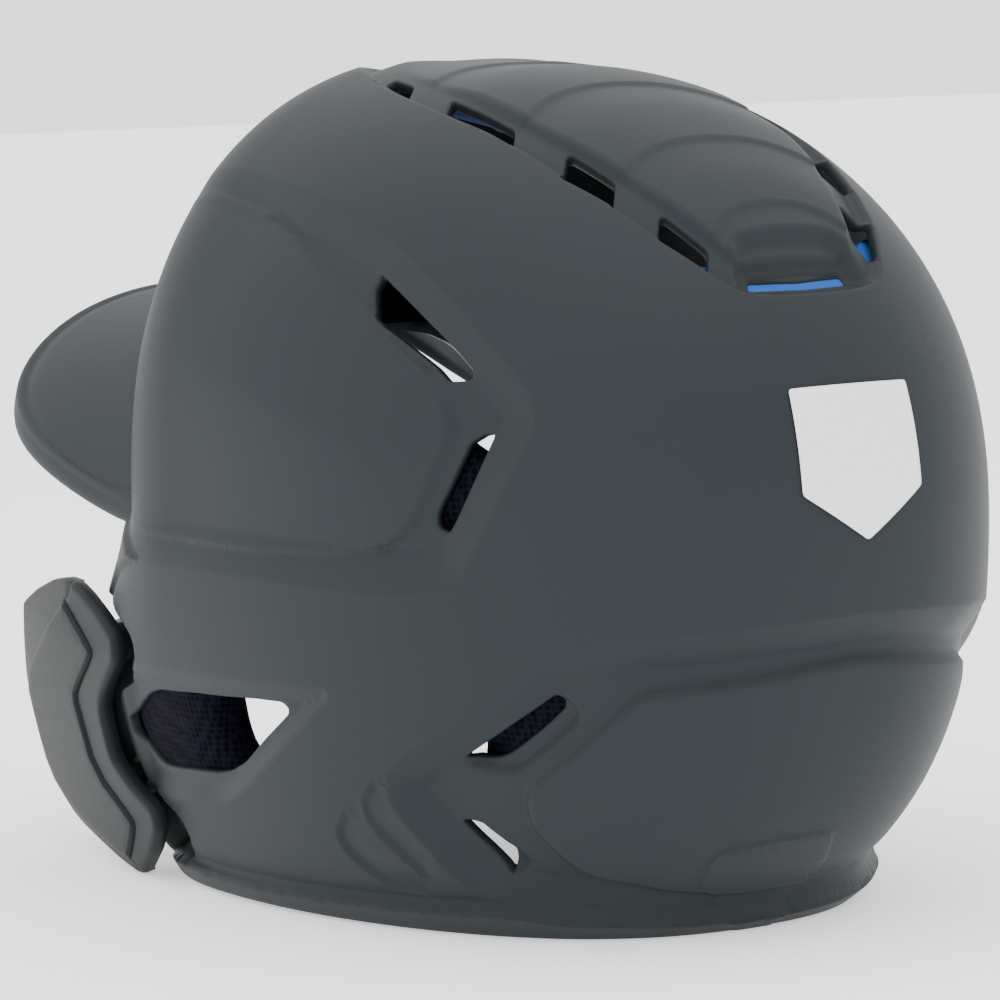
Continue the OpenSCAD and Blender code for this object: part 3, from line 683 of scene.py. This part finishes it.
vent_d = hole([(73.7, 85.3, 30.1), (72.9, 87.6, 30.6), (71, 91.1, 30.1), (65.6, 95.2, 24.4), (63.3, 95, 20.9),
               (60.9, 92.4, 15.6), (62.7, 91.8, 17.4), (67.4, 89.8, 22.4)], radius=1.0)
ear_opening = hole(sunk(side_at([(-55.6, 37.2), (-51, 40), (-42, 45), (-36, 48), (-29, 50), (-8, 52.6),
                                 (22, 56),
                                 (34, 57), (37, 55.7), (36, 54), (24, 45.6), (12, 37), (3.5, 33), (-4, 31),
                                 (-20, 29),
                                 (-37, 27), (-42, 28), (-51, 31.8), (-55.2, 34.4)]), 1.6), radius=1.4)
side_holes = roof_vents + [vent_a, vent_b, vent_c, vent_d, ear_opening]
shell_loops = [lower_edge(), rear_slot] + side_holes + [mirrored(h) for h in side_holes]


def shell_points():
    fine = [roof_edge.rows(ROOF_ROWS), roof_panel.rows(PANEL_ROWS),
            slot_scoop.rows((-1, 0, 1.2, 2.4, 3.6, 4.8)),
            chevron.rows(BAND_ROWS), chevron_inner.rows((-2.4, -1.2, 0, 1.2, 2.4)),
            vent_a_scoop.rows(SCOOP_ROWS), vent_b_scoop.rows(SCOOP_ROWS), vent_c_scoop.rows(SCOOP_ROWS),
            vent_d_scoop.rows(SCOOP_ROWS), ear_recess.rows((-1.2, 0, 1.2, 2.5, 3.8, 5, 6.2)),
            ledge.rows((-1.8, -0.7, 0, 0.8, 2.6, 4.6, 6.6, 8.4, 9.6, 10.4, 12)),
            rear_panel.rows((-1.6, -0.4, 0.8, 2, 3.2, 4.6)), bead.rows((-1.2, -0.2, 0.6, 1.2, 1.8, 2.8)),
            pocket.rows((-1.6, -0.6, 0, 0.5, 1.0, 1.4, 2.4)),
            temple_band.rows((-1.6, -0.5, 0.4, 1.4, 2.5, 3.6))]
    fine += [crease.rows((-1, 0, 1.3, 2.6, 4)) for crease in scales]
    fine += [crease.rows((-0.8, 0, 0.7, 1.4, 2.6)) for crease in ripples]
    fine.append(plate.rows((-0.9, -0.4, 0, 0.4, 0.9)))
    edges = []
    for p in shell_loops:
        normal = skin_normal(to_chart(p))
        tangent = unit(np.roll(p, -1, axis=0) - np.roll(p, 1, axis=0))
        across = unit(np.cross(normal, tangent))
        for w in (1.9, -1.9, 3.0, -3.0):
            edges.append(to_chart(p + across * w))
    border = np.vstack([to_chart(p) for p in shell_loops])
    fine = thinned(distinct(np.vstack(fine), 0.75), border, 0.62)
    edges = thinned(np.vstack(edges), fine, 0.6)
    detail = np.vstack([fine, edges])
    plain = thinned(ring_grid(-54.0, 88.6, 1.15, 2.7), np.vstack([detail, border]), 1.0)
    coarse = [roof_edge.rows((0, 2.6)), roof_panel.rows((-6, 1)), chevron.rows((0, 9)), ledge.rows((0, 8.6)),
              pocket.rows((0, 1.4))]
    coarse = distinct(np.vstack(coarse), 2.0)
    inner = thinned(ring_grid(-54.0, 88.4, 2.3, 5.2), np.vstack([coarse, border]), 1.6)
    return np.vstack([detail, plain]), np.vstack([thinned(coarse, border, 0.8), inner])


def inner_shell_relief(p, uv):
    y = p[:, 1]
    height = -2.6 * ease(roof_edge.distance(p, uv) / 3.0) + 1.0 * ease((roof_panel.distance(p,
        uv) + 6.4) / 8.0)
    height += -3.4 * ease((y + 62) / 62) * ease(chevron.distance(p, uv) / 11.0)
    height += -5.0 * ease(ledge.distance(p, uv) / 9.0)
    height += -4.6 * ease(pocket.distance(p, uv) / 3.0)
    return height


outer_points, inner_points = shell_points()
verts, faces = sheet_mesh(shell_loops, outer_points, inner_points, to_chart,
                          lambda uv: skin(chart_direction(uv)), skin_normal, shell_relief, inner_shell_relief,
                          WALL, 0.8)
shell = new_object("helmet_shell", verts, faces)
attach(shell, "helmet")
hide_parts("shell")


# ---- Visor ----------------------------------------------------------------------------

def bent(v, power):
    return np.sign(v) * np.abs(v) ** (2.0 / power)


VISOR_HALF = 88.0
VISOR_REACH = 117.4
VISOR_POWER = 4.84
VISOR_WALL = 3.2


def visor_top(p):
    fall = 21.3 * (1 + 0.28 * ease((p[:, 1] + 150.0) / 95.0))
    return 144.6 - 0.019 * (p[:, 1] + 88.0) - fall * (np.abs(p[:, 0]) / 72.0) ** 2.6


def visor_mesh():
    turn = np.linspace(0, math.pi, 3001)
    edge = np.column_stack([VISOR_HALF * bent(np.cos(turn), VISOR_POWER),
                            -50.0 - VISOR_REACH * bent(np.sin(turn), VISOR_POWER)])
    length = np.concatenate([[0], np.cumsum(np.linalg.norm(np.diff(edge, axis=0), axis=1))])
    at = np.linspace(0, length[-1], 201)
    t = np.interp(at, length, turn)
    edge = np.column_stack([VISOR_HALF * bent(np.cos(t), VISOR_POWER),
                            -50.0 - VISOR_REACH * bent(np.sin(t), VISOR_POWER)])
    r = math.radians(30) + math.radians(120) * t / math.pi
    root = np.column_stack([95.0 * bent(np.cos(r), PLAN_POWER), BELT_Y - 64.0 * bent(np.sin(r), PLAN_POWER)])
    tangent = np.gradient(edge, axis=0)
    out = unit(np.column_stack([-tangent[:, 1], tangent[:, 0]]) * -1.0)
    if (out * (edge - root)).sum() < 0:
        out = -out
    span = np.linalg.norm(edge - root, axis=1)
    lip = visor_top(edge)
    sections = []
    for i in range(len(t)):
        rows = []
        depth = np.concatenate([np.linspace(span[i], min(10.0, span[i] * 0.5), 26),
                                np.array([8, 6.5, 5.2, 4.2, 3.3, 2.5, 1.8, 1.2, 0.7, 0.3, 0.05, 0])
                                * min(1.0, span[i] * 0.5 / 9.0)])
        p = edge[i] - np.outer(depth / span[i], edge[i] - root[i])
        roll = 1.8
        fall = roll - np.sqrt(np.maximum(roll ** 2 - np.maximum(roll - depth, 0) ** 2, 0))
        groove = 0.7 * np.exp(-((depth - 5.0) / 1.8) ** 2)
        rows.append(np.column_stack([p, visor_top(p) - fall - groove]))
        foot = lip[i] - roll
        tall = 0.72 - 0.1 * ease((edge[i][1] + 150.0) / 70.0)
        band = [(0.25, 1.5), (0.5, 3.5), (0.6, 5.5), (0.5, 7.0), (0.2, 7.9), (-0.4, 8.5), (-1.2, 8.8),
                (-2.4, 8.8),
                (-3.0, 8.4), (-3.3, 7.4), (-3.4, 5.0), (-3.6, 3.4), (-4.2, 2.4), (-5.2, 1.8)]
        rows.append(np.array([[*(edge[i] + out[i] * a), foot - b * tall] for a, b in band]))
        depth = np.linspace(min(9.0, span[i] * 0.6), span[i], 16)
        p = edge[i] - np.outer(depth / span[i], edge[i] - root[i])
        rows.append(np.column_stack([p, visor_top(p) - VISOR_WALL]))
        sections.append(np.vstack(rows))
    n = len(sections[0])
    verts = np.vstack(sections)
    quads = []
    ids = np.arange(n)
    for i in range(len(sections) - 1):
        a, b = i * n + ids, (i + 1) * n + ids
        quads.append(np.column_stack([a, np.roll(a, -1), np.roll(b, -1), b]))
    caps = [list(range(n - 1, -1, -1)), [(len(sections) - 1) * n + j for j in range(n)]]
    return verts, [np.vstack(quads), caps]


visor_verts, visor_faces = visor_mesh()
visor = new_object("helmet_visor", visor_verts, visor_faces)
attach(visor, "helmet")
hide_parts("shell")


# ---- Jaw guard ------------------------------------------------------------------------

def guard_place(uv):
    return np.column_stack([guard_x(uv[:, 0], uv[:, 1]), uv[:, 0], uv[:, 1]])


def guard_flatten(p):
    return p[:, 1:3]


def guard_normal(uv):
    e = 0.05
    du = guard_place(uv + [e, 0]) - guard_place(uv - [e, 0])
    dv = guard_place(uv + [0, e]) - guard_place(uv - [0, e])
    return unit(np.cross(du, dv))


def flat_distance(line, closed, points):
    """Distance of flat points from a line, above zero inside it when it is closed."""
    a = line if closed else line[:-1]
    b = np.roll(line, -1, axis=0) if closed else line[1:]
    best = np.full(len(points), 1e9)
    for p, q in zip(a, b):
        seg = q - p
        t = np.clip(((points - p) @ seg) / max(seg @ seg, 1e-9), 0, 1)
        best = np.minimum(best, np.linalg.norm(points - p - np.outer(t, seg), axis=1))
    if closed:
        best = np.where(inside(line, points), best, -best)
    return best


def flat_rows(line, offsets, closed):
    if closed:
        tangent = unit(np.roll(line, -1, axis=0) - np.roll(line, 1, axis=0))
    else:
        tangent = unit(np.gradient(line, axis=0))
    across = np.column_stack([-tangent[:, 1], tangent[:, 0]])
    return np.vstack([line + across * w for w in offsets])


GUARD_OUTLINE = np.array([
    [-91.6, 71.5], [-81.9, 71.7], [-73.7, 70], [-60.5, 65.6], [-50.5, 60.8], [-50.3, 54.3], [-63.7, 42.7],
    [-67.7, 37.3], [-65.4, 23.6], [-54.8, 17.6], [-41, 13], [-40.8, 7.7], [-49.1, -0.9], [-65.1, -11.8],
    [-80.5, -10.6], [-114.8, -5], [-132, 4], [-140, 20], [-150, 37], [-151, 47], [-146, 54], [-137.7, 57.5],
    [-124.2, 62.9], [-104.9, 68.9]])
GUARD_REAR = [[-88, 65.2], [-67.4, 55.5], [-66.8, 53.2], [-81.5, 42.1], [-85.8, 37.9], [-83.8, 32.3],
              [-79.8, 17.3],
              [-58, 7.5], [-57.6, 4.7], [-69.2, -6.7]]
GUARD_FRONT = [[-69.2, -6.7], [-79, -6.5], [-113, -1], [-127, 7], [-130.6, 23.2], [-132.2, 35.5],
               [-112.7, 48.9],
               [-88, 65.2]]
GUARD_FORWARD = np.array([-3.0, 0.0])
guard_outline = spaced(filleted(GUARD_OUTLINE + GUARD_FORWARD, 3.0), 1.2, True)
guard_groove = spaced(rounded(np.array(GUARD_REAR) + GUARD_FORWARD, 1, False), 0.7, False)
guard_ridge = spaced(rounded(np.array(GUARD_FRONT) + GUARD_FORWARD, 1, False), 1.0, False)
guard_panel = np.vstack([guard_groove, guard_ridge[1:-1]])


def guard_relief(p, uv):
    s = flat_distance(guard_panel, True, uv)
    height = 1.0 * ease((s + 0.2) / 1.2)
    g = flat_distance(guard_groove, False, uv)
    height -= 1.5 * (1 - ease(g / 0.75))
    r = flat_distance(guard_ridge, False, uv)
    ahead = (s < 0) & (r < np.abs(s) + 0.5)
    height -= np.where(ahead, 0.16 * np.minimum(r, 25.0), 0.0)
    return height


def guard_grid(step):
    y = np.arange(-160, -38, step)
    z = np.arange(-16, 76, step)
    gy, gz = np.meshgrid(y, z)
    gy = gy + (np.arange(len(z)) % 2)[:, None] * step / 2
    return np.column_stack([gy.ravel(), gz.ravel()])


def guard_points():
    fine = np.vstack([flat_rows(guard_groove, (-1.2, -0.75, -0.35, 0, 0.35, 0.75, 1.2, 2.0), False),
                      flat_rows(guard_ridge, (-1.4, -0.6, 0, 0.6, 1.4), False)])
    _, first = np.unique((np.floor(fine / 0.3).astype(np.int64) * [1, 100000]).sum(1), return_index=True)
    fine = fine[first]
    edge = flat_rows(guard_outline, (3.0, 4.2, -3.0, -4.2), True)
    grid = guard_grid(2.2)
    kept = fine
    for group, gap in ((edge, 0.9), (grid, 1.1)):
        cells = np.unique((np.floor(kept / gap).astype(np.int64)[:, None, :]
                           + np.array([(a, b) for a in (-1, 0, 1) for b in (-1, 0, 1)])).reshape(-1, 2)
                          @ np.array([1, 100000]))
        own = np.floor(group / gap).astype(np.int64) @ np.array([1, 100000])
        kept = np.vstack([kept, group[~np.isin(own, cells)]])
    rim = flat_distance(guard_outline, True, kept)
    return kept[rim > 2.9]


guard_loops = [guard_place(guard_outline)]
verts, faces = sheet_mesh(guard_loops, guard_points(), guard_grid(4.0)[
    flat_distance(guard_outline, True, guard_grid(4.0)) > 3.0], guard_flatten, guard_place, guard_normal,
    guard_relief, lambda p, uv: np.zeros(len(p)), 4.4, 1.7)
guard = new_object("jaw_guard_plate", verts, faces)
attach(guard, "guard")
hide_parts("jaw_guard")


def guard_cushion():
    """Foam block behind the guard's front half."""
    outline = np.array([[-100, 58], [-94, 40], [-94, 20], [-104, 8], [-120, 8], [-128, 22], [-135, 38],
                        [-135, 50],
                        [-122, 56]], float)
    line = spaced(rounded(outline, 2, True), 2.0, True)
    grid = guard_grid(3.0)
    grid = grid[flat_distance(line, True, grid) > 2.6]
    verts, faces = sheet_mesh([guard_place(line)], grid, grid, guard_flatten, guard_place, guard_normal,
                              lambda p, uv: np.full(len(p), -5.0), lambda p, uv: np.full(len(p), -5.0), 6.4,
                              1.5)
    return new_object("guard_cushion", verts, faces)


cushion = guard_cushion()


# ---- Badge ----------------------------------------------------------------------------

badge_line = hole([(18, 153, 147), (-18, 153, 147), (-18, 157, 121), (0, 158, 109), (18, 157, 121)],
                  radius=0.8)
verts, faces = sheet_mesh([badge_line], to_chart(on_skin(np.array([[x, 156.0, z] for x in np.arange(-20, 21,
    2.0)
                                                                  for z in np.arange(104, 151, 2.0)]))),
                          np.zeros((0, 2)), to_chart, lambda uv: skin(chart_direction(uv)), skin_normal,
                          lambda p, uv: np.full(len(p), 0.45), lambda p, uv: np.zeros(len(p)) + 0.45, 0.4,
                          0.15)
badge = new_object("rear_badge", verts, faces)
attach(badge, "helmet")
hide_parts("rear_emblem")


# ---- Lining ---------------------------------------------------------------------------

def patch(bearings, heights, cut=0.0):
    """Outline of a pad on the wall with its corners cut off, as a closed line."""
    (b0, b1), (z0, z1) = bearings, heights
    cb = (b1 - b0) * cut
    cz = (z1 - z0) * cut
    corners = np.array([(b0 + cb, z0), (b1 - cb, z0), (b1, z0 + cz), (b1, z1 - cz), (b1 - cb, z1),
                        (b0 + cb, z1),
                        (b0, z1 - cz), (b0, z0 + cz)])
    dense = spaced(corners * [1.5, 1.0], 3.0, True) / [1.5, 1.0]
    return bearing_point(dense[:, 0], dense[:, 1])


def pad_start(name, loops, thick, near):
    """Slab that follows the inside of the shell."""
    loops = [on_skin(spaced(rounded(p, 2, True), 3.0, True)) for p in loops]
    interior = ring_grid(-50.0, 88.0, 2.4, 5.0)
    points = thinned(interior, np.vstack([to_chart(p) for p in loops]), 2.5)

    def face(p, uv):
        return inner_shell_relief(p, uv) - WALL - near

    verts, faces = sheet_mesh(loops, points, points, to_chart, lambda uv: skin(chart_direction(uv)),
                              skin_normal, face, face, thick, 2.0)
    return new_object(name, verts, faces)


def kept_inside(obj, gap):
    """Points of a pad that reach into the shell's wall are set back to its inside."""
    mesh = obj.data
    co = np.empty(len(mesh.vertices) * 3)
    mesh.vertices.foreach_get("co", co)
    p = from_frame(co.reshape(-1, 3))
    uv = to_chart(p)
    base = skin(chart_direction(uv))
    n = skin_normal(uv)
    out = ((p - base) * n).sum(1) - (inner_shell_relief(base, uv) - WALL - gap)
    p = p - n * np.maximum(out, 0)[:, None]
    mesh.vertices.foreach_set("co", to_frame(p).ravel())
    mesh.update()


def puffed(obj, voxel, cap, pressure=4.0, soften=2):
    """Swells a pad by cloth simulation, moving no point by more than the cap."""
    bpy.context.view_layer.objects.active = obj
    for other in bpy.context.selected_objects:
        other.select_set(False)
    obj.select_set(True)
    remesh = obj.modifiers.new("even", "REMESH")
    remesh.mode = "VOXEL"
    remesh.voxel_size = voxel * 0.001
    bpy.ops.object.modifier_apply(modifier=remesh.name)
    count = len(obj.data.vertices)
    before = np.empty(count * 3)
    obj.data.vertices.foreach_get("co", before)
    cloth = obj.modifiers.new("swell", "CLOTH")
    cloth.settings.quality = 5
    cloth.settings.use_pressure = True
    cloth.settings.uniform_pressure_force = pressure
    cloth.settings.effector_weights.gravity = 0.0
    cloth.settings.tension_stiffness = 12.0
    cloth.settings.bending_stiffness = 0.6
    scene = bpy.context.scene
    for step in range(1, 21):
        scene.frame_set(step)
    bpy.ops.object.modifier_apply(modifier=cloth.name)
    scene.frame_set(1)
    after = np.empty(count * 3)
    obj.data.vertices.foreach_get("co", after)
    move = (after - before).reshape(-1, 3)
    far = np.linalg.norm(move, axis=1, keepdims=True)
    move *= np.minimum(1.0, cap * 0.001 / np.maximum(far, 1e-9))
    obj.data.vertices.foreach_set("co", (before.reshape(-1, 3) + move).ravel())
    smooth = obj.modifiers.new("relax", "SMOOTH")
    smooth.iterations = soften
    bpy.ops.object.modifier_apply(modifier=smooth.name)
    finer = obj.modifiers.new("finer", "SUBSURF")
    finer.levels = 1
    bpy.ops.object.modifier_apply(modifier=finer.name)
    obj.data.polygons.foreach_set("use_smooth", [True] * len(obj.data.polygons))


def wall_pad(node, loops, thick, near=1.0, cap=4.0, voxel=4.5):
    obj = pad_start("lining_" + node, loops, thick, near)
    puffed(obj, voxel, cap)
    kept_inside(obj, 0.25)
    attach(obj, "helmet")
    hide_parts(node)
    return obj


def pad_loop(points, side):
    p = side_at(points)
    return mirrored(p) if side < 0 else p


puffed(cushion, 3.0, 1.5)
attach(cushion, "guard")
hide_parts("guard_pad")

lining = {}
for side, word in ((1, "left"), (-1, "right")):
    ear = [(-58, 84), (-61, 60), (-72, 40), (-60, 14), (-20, 8), (30, 10), (50, 26), (56, 54), (50, 84),
           (0, 92)]
    window = [(-9, 33), (-9, 50), (-2, 60), (16, 63), (30, 62), (38, 54), (28, 36), (14, 28), (0, 27)]
    lining["ear_pad_" + word] = wall_pad("ear_pad_" + word, [pad_loop(ear, side), pad_loop(window, side)],
                                         13.0)

    def spread(low, high):
        return (low, high) if side > 0 else (180 - high, 180 - low)

    lining["temple_pad_" + word] = wall_pad("temple_pad_" + word, [patch(spread(-12, 16), (118, 148), 0.2)],
                                            9.0)
    lining["side_pad_" + word] = wall_pad("side_pad_" + word, [patch(spread(26, 58), (104, 134), 0.12)], 9.0)
lining["brow_pad"] = wall_pad("brow_pad", [patch((-150, -30), (141.5, 164), 0.06)], 11.0)


def wall_felt(node, loops, near, thick):
    """Thin felt on the lining or the shell."""
    obj = pad_start("lining_" + node, loops, thick, near)
    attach(obj, "helmet")
    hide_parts(node)
    return obj


lining["brow_pad_cover"] = wall_felt("brow_pad_cover", [patch((-145, -35), (144, 161), 0.05)], 14.2, 1.2)
for side, word in ((1, "left"), (-1, "right")):
    for z in (76, 20):
        first = 12 if side > 0 else 150
        piece = wall_felt("hook_patch_" + word, [patch((first, first + 18), (z - 4, z + 4), 0.1)], 0.3, 0.6)
        lining["hook_patch_%s_%d" % (word, z)] = piece
lining["rear_pad"] = wall_pad("rear_pad", [patch((55, 125), (18, 100), 0.08)], 11.0)
lining["rear_gel_pad"] = wall_pad("rear_gel_pad", [patch((66, 114), (146, 182), 0.1)], 11.0,
                                  cap=2.0)


def roof_loop(x0, x1, y0, y1, cut):
    return roof_at([(x0 + cut, y0), (x1 - cut, y0), (x1, y0 + cut), (x1, y1 - cut), (x1 - cut, y1),
                    (x0 + cut, y1),
                    (x0, y1 - cut), (x0, y0 + cut)])


lining["crown_pad"] = wall_pad("crown_pad", [roof_loop(-26, 26, -20, 70, 6)], 9.0, cap=2.0)
lining["crown_strip_left"] = wall_pad("crown_strip_left", [roof_loop(47, 57, -20, 78, 2)], 7.0, cap=1.5,
                                      voxel=3.0)
lining["crown_strip_right"] = wall_pad("crown_strip_right", [roof_loop(-57, -47, -20, 78, 2)], 7.0, cap=1.5,
                                       voxel=3.0)


# ---- Materials ------------------------------------------------------------------------

def material(name, color, rough, bump=0.0, scale=900.0, spread=0.04, metallic=0.0, coat=0.0, sheen=0.0,
             specular=0.5):
    mat = bpy.data.materials.new(name)
    mat.use_nodes = True
    nodes, links = mat.node_tree.nodes, mat.node_tree.links
    shader = nodes["Principled BSDF"]
    shader.inputs["Metallic"].default_value = metallic
    shader.inputs["Coat Weight"].default_value = coat
    shader.inputs["Sheen Weight"].default_value = sheen
    shader.inputs["Specular IOR Level"].default_value = specular
    where = nodes.new("ShaderNodeTexCoord")
    broad = nodes.new("ShaderNodeTexNoise")
    broad.inputs["Scale"].default_value = 18.0
    broad.inputs["Detail"].default_value = 4.0
    links.new(where.outputs["Object"], broad.inputs["Vector"])
    tint = nodes.new("ShaderNodeMixRGB")
    tint.inputs["Color1"].default_value = (*[c * (1 - spread) for c in color], 1)
    tint.inputs["Color2"].default_value = (*[min(c * (1 + spread), 1) for c in color], 1)
    links.new(broad.outputs["Fac"], tint.inputs["Fac"])
    links.new(tint.outputs["Color"], shader.inputs["Base Color"])
    fine = nodes.new("ShaderNodeTexNoise")
    fine.inputs["Scale"].default_value = scale
    fine.inputs["Detail"].default_value = 3.0
    links.new(where.outputs["Object"], fine.inputs["Vector"])
    span = nodes.new("ShaderNodeMapRange")
    span.inputs["To Min"].default_value = rough - 0.05
    span.inputs["To Max"].default_value = rough + 0.05
    links.new(fine.outputs["Fac"], span.inputs["Value"])
    links.new(span.outputs["Result"], shader.inputs["Roughness"])
    if bump:
        bumps = nodes.new("ShaderNodeBump")
        bumps.inputs["Strength"].default_value = bump
        bumps.inputs["Distance"].default_value = 0.0002
        links.new(fine.outputs["Fac"], bumps.inputs["Height"])
        links.new(bumps.outputs["Normal"], shader.inputs["Normal"])
    return mat


def knit(name, ground, thread):
    """Warp-knitted mesh: rows of small loops with holes between them."""
    mat = bpy.data.materials.new(name)
    mat.use_nodes = True
    nodes, links = mat.node_tree.nodes, mat.node_tree.links
    shader = nodes["Principled BSDF"]
    shader.inputs["Roughness"].default_value = 0.85
    shader.inputs["Sheen Weight"].default_value = 0.0
    shader.inputs["Specular IOR Level"].default_value = 0.06
    where = nodes.new("ShaderNodeTexCoord")
    warp = nodes.new("ShaderNodeTexNoise")
    warp.inputs["Scale"].default_value = 60.0
    links.new(where.outputs["Object"], warp.inputs["Vector"])
    shift = nodes.new("ShaderNodeMixRGB")
    shift.inputs["Fac"].default_value = 0.0015
    links.new(where.outputs["Object"], shift.inputs["Color1"])
    links.new(warp.outputs["Color"], shift.inputs["Color2"])
    loops = nodes.new("ShaderNodeTexVoronoi")
    loops.feature = "F1"
    loops.inputs["Scale"].default_value = 560.0
    loops.inputs["Randomness"].default_value = 0.25
    links.new(shift.outputs["Color"], loops.inputs["Vector"])
    ramp = nodes.new("ShaderNodeValToRGB")
    ramp.color_ramp.elements[0].position = 0.3
    ramp.color_ramp.elements[0].color = (*ground, 1)
    ramp.color_ramp.elements[1].position = 0.62
    ramp.color_ramp.elements[1].color = (*thread, 1)
    links.new(loops.outputs["Distance"], ramp.inputs["Fac"])
    links.new(ramp.outputs["Color"], shader.inputs["Base Color"])
    bumps = nodes.new("ShaderNodeBump")
    bumps.inputs["Strength"].default_value = 0.8
    bumps.inputs["Distance"].default_value = 0.0004
    links.new(loops.outputs["Distance"], bumps.inputs["Height"])
    links.new(bumps.outputs["Normal"], shader.inputs["Normal"])
    return mat


shell_abs = material("matte_shell", (0.0185, 0.0232, 0.0260), 0.50, bump=0.25, scale=1400.0, specular=0.12)
guard_abs = material("matte_guard", (0.0100, 0.0125, 0.0139), 0.50, bump=0.25, scale=1400.0, specular=0.12)
vinyl = material("badge_vinyl", (0.86, 0.87, 0.88), 0.18, bump=0.05, scale=300.0, spread=0.01)
blue_foam = material("blue_foam", (0.0008, 0.075, 0.36), 0.75, bump=0.5, scale=700.0, spread=0.12)
black_foam = material("black_foam", (0.004, 0.004, 0.005), 0.8, bump=0.5, scale=700.0, spread=0.2)
pad_mesh = knit("knit_mesh", (0.0003, 0.0003, 0.0006), (0.004, 0.004, 0.012))
steel = material("zinc_steel", (0.62, 0.63, 0.65), 0.32, bump=0.1, scale=500.0, metallic=1.0)
# The brass inserts are drawn near-black as painted shade for the shaded gap between the guard and the flap,
# where the lower one shows.
insert_painted_shade = material("insert_painted_shade", (0.03, 0.03, 0.032), 0.4, bump=0.1, scale=500.0, metallic=1.0)
rubber = material("rubber", (0.02, 0.02, 0.021), 0.7, bump=0.3, scale=900.0)


def paint(obj, mat):
    obj.data.materials.clear()
    obj.data.materials.append(mat)


paint(shell, shell_abs)
paint(visor, shell_abs)
paint(guard, guard_abs)
paint(badge, vinyl)
paint(cushion, blue_foam)
for name, obj in lining.items():
    if name in ("crown_pad", "rear_gel_pad"):
        paint(obj, blue_foam)
    elif name.startswith(("crown_strip", "hook_patch")):
        paint(obj, black_foam)
    else:
        paint(obj, pad_mesh)
# CAD parts get materials by name; the inserts get the near-black metal, which is painted shade.
for name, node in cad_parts.items():
    for words, mat in (("foam", blue_foam), ("pad", black_foam), ("crown_strip", black_foam),
                       ("hook", black_foam),
                       ("crown_pad", blue_foam), ("gel", blue_foam), ("guard_pad", blue_foam),
                       ("screw", steel),
                       ("washer", steel), ("insert", insert_painted_shade), ("spacer", rubber)):
        if words in name:
            node.data.materials.clear()
            node.data.materials.append(mat)


# ---- Studio ---------------------------------------------------------------------------

WORLD_STRENGTH = 1.9
FLOOR_HALF = 30.0
FLOOR_GLOW = 0.6
SENSOR_WIDTH = 36.0
LENS_PER_SENSOR = 4.425


def studio():
    world = bpy.context.scene.world or bpy.data.worlds.new("studio")
    bpy.context.scene.world = world
    world.use_nodes = True
    back = world.node_tree.nodes["Background"]
    back.inputs["Color"].default_value = (1, 1, 1, 1)
    back.inputs["Strength"].default_value = WORLD_STRENGTH
    floor_mesh = bpy.data.meshes.new("studio_floor")
    s = FLOOR_HALF
    floor_mesh.from_pydata([(-s, -s, 0), (s, -s, 0), (s, s, 0), (-s, s, 0)], [], [(0, 1, 2, 3)])
    floor = bpy.data.objects.new("studio_floor", floor_mesh)
    bpy.context.scene.collection.objects.link(floor)
    mat = bpy.data.materials.new("studio_floor")
    mat.use_nodes = True
    shader = mat.node_tree.nodes["Principled BSDF"]
    shader.inputs["Base Color"].default_value = (0.93, 0.93, 0.93, 1)
    shader.inputs["Roughness"].default_value = 0.9
    shader.inputs["Emission Color"].default_value = (1, 1, 1, 1)
    shader.inputs["Emission Strength"].default_value = FLOOR_GLOW
    floor.data.materials.append(mat)

    def softbox(name, place, target, size, power):
        light = bpy.data.lights.new(name, "AREA")
        light.shape = "RECTANGLE"
        light.size, light.size_y = size
        light.energy = power
        obj = bpy.data.objects.new(name, light)
        bpy.context.scene.collection.objects.link(obj)
        obj.location = place
        obj.rotation_mode = "QUATERNION"
        obj.rotation_quaternion = (Vector(target) - Vector(place)).to_track_quat("-Z", "Y")
        return obj

    softbox("overhead", (0.15, 0.25, 1.5), (0, 0, 0.1), (1.6, 1.6), 10)
    softbox("side", (1.5, 0.1, 1.1), (0, 0, 0.12), (0.9, 0.9), 1.2)


def main_camera():
    place = to_frame([SIGHT_TARGET - SIGHT * SIGHT_DISTANCE])[0]
    toward = Vector(axis_to_frame(SIGHT))
    up = Vector(axis_to_frame([0, 0, 1]))
    side = toward.cross(up).normalized()
    up = side.cross(toward)
    data = bpy.data.cameras.new("photo_view")
    data.sensor_width = SENSOR_WIDTH
    data.lens = LENS_PER_SENSOR * SENSOR_WIDTH
    cam = bpy.data.objects.new("photo_view", data)
    bpy.context.scene.collection.objects.link(cam)
    turn = Matrix((side, up, -toward)).transposed()
    cam.matrix_world = Matrix.Translation(Vector(place)) @ turn.to_4x4()
    data.clip_start = 0.05
    data.clip_end = 100.0
    bpy.context.scene.camera = cam


studio()
main_camera()
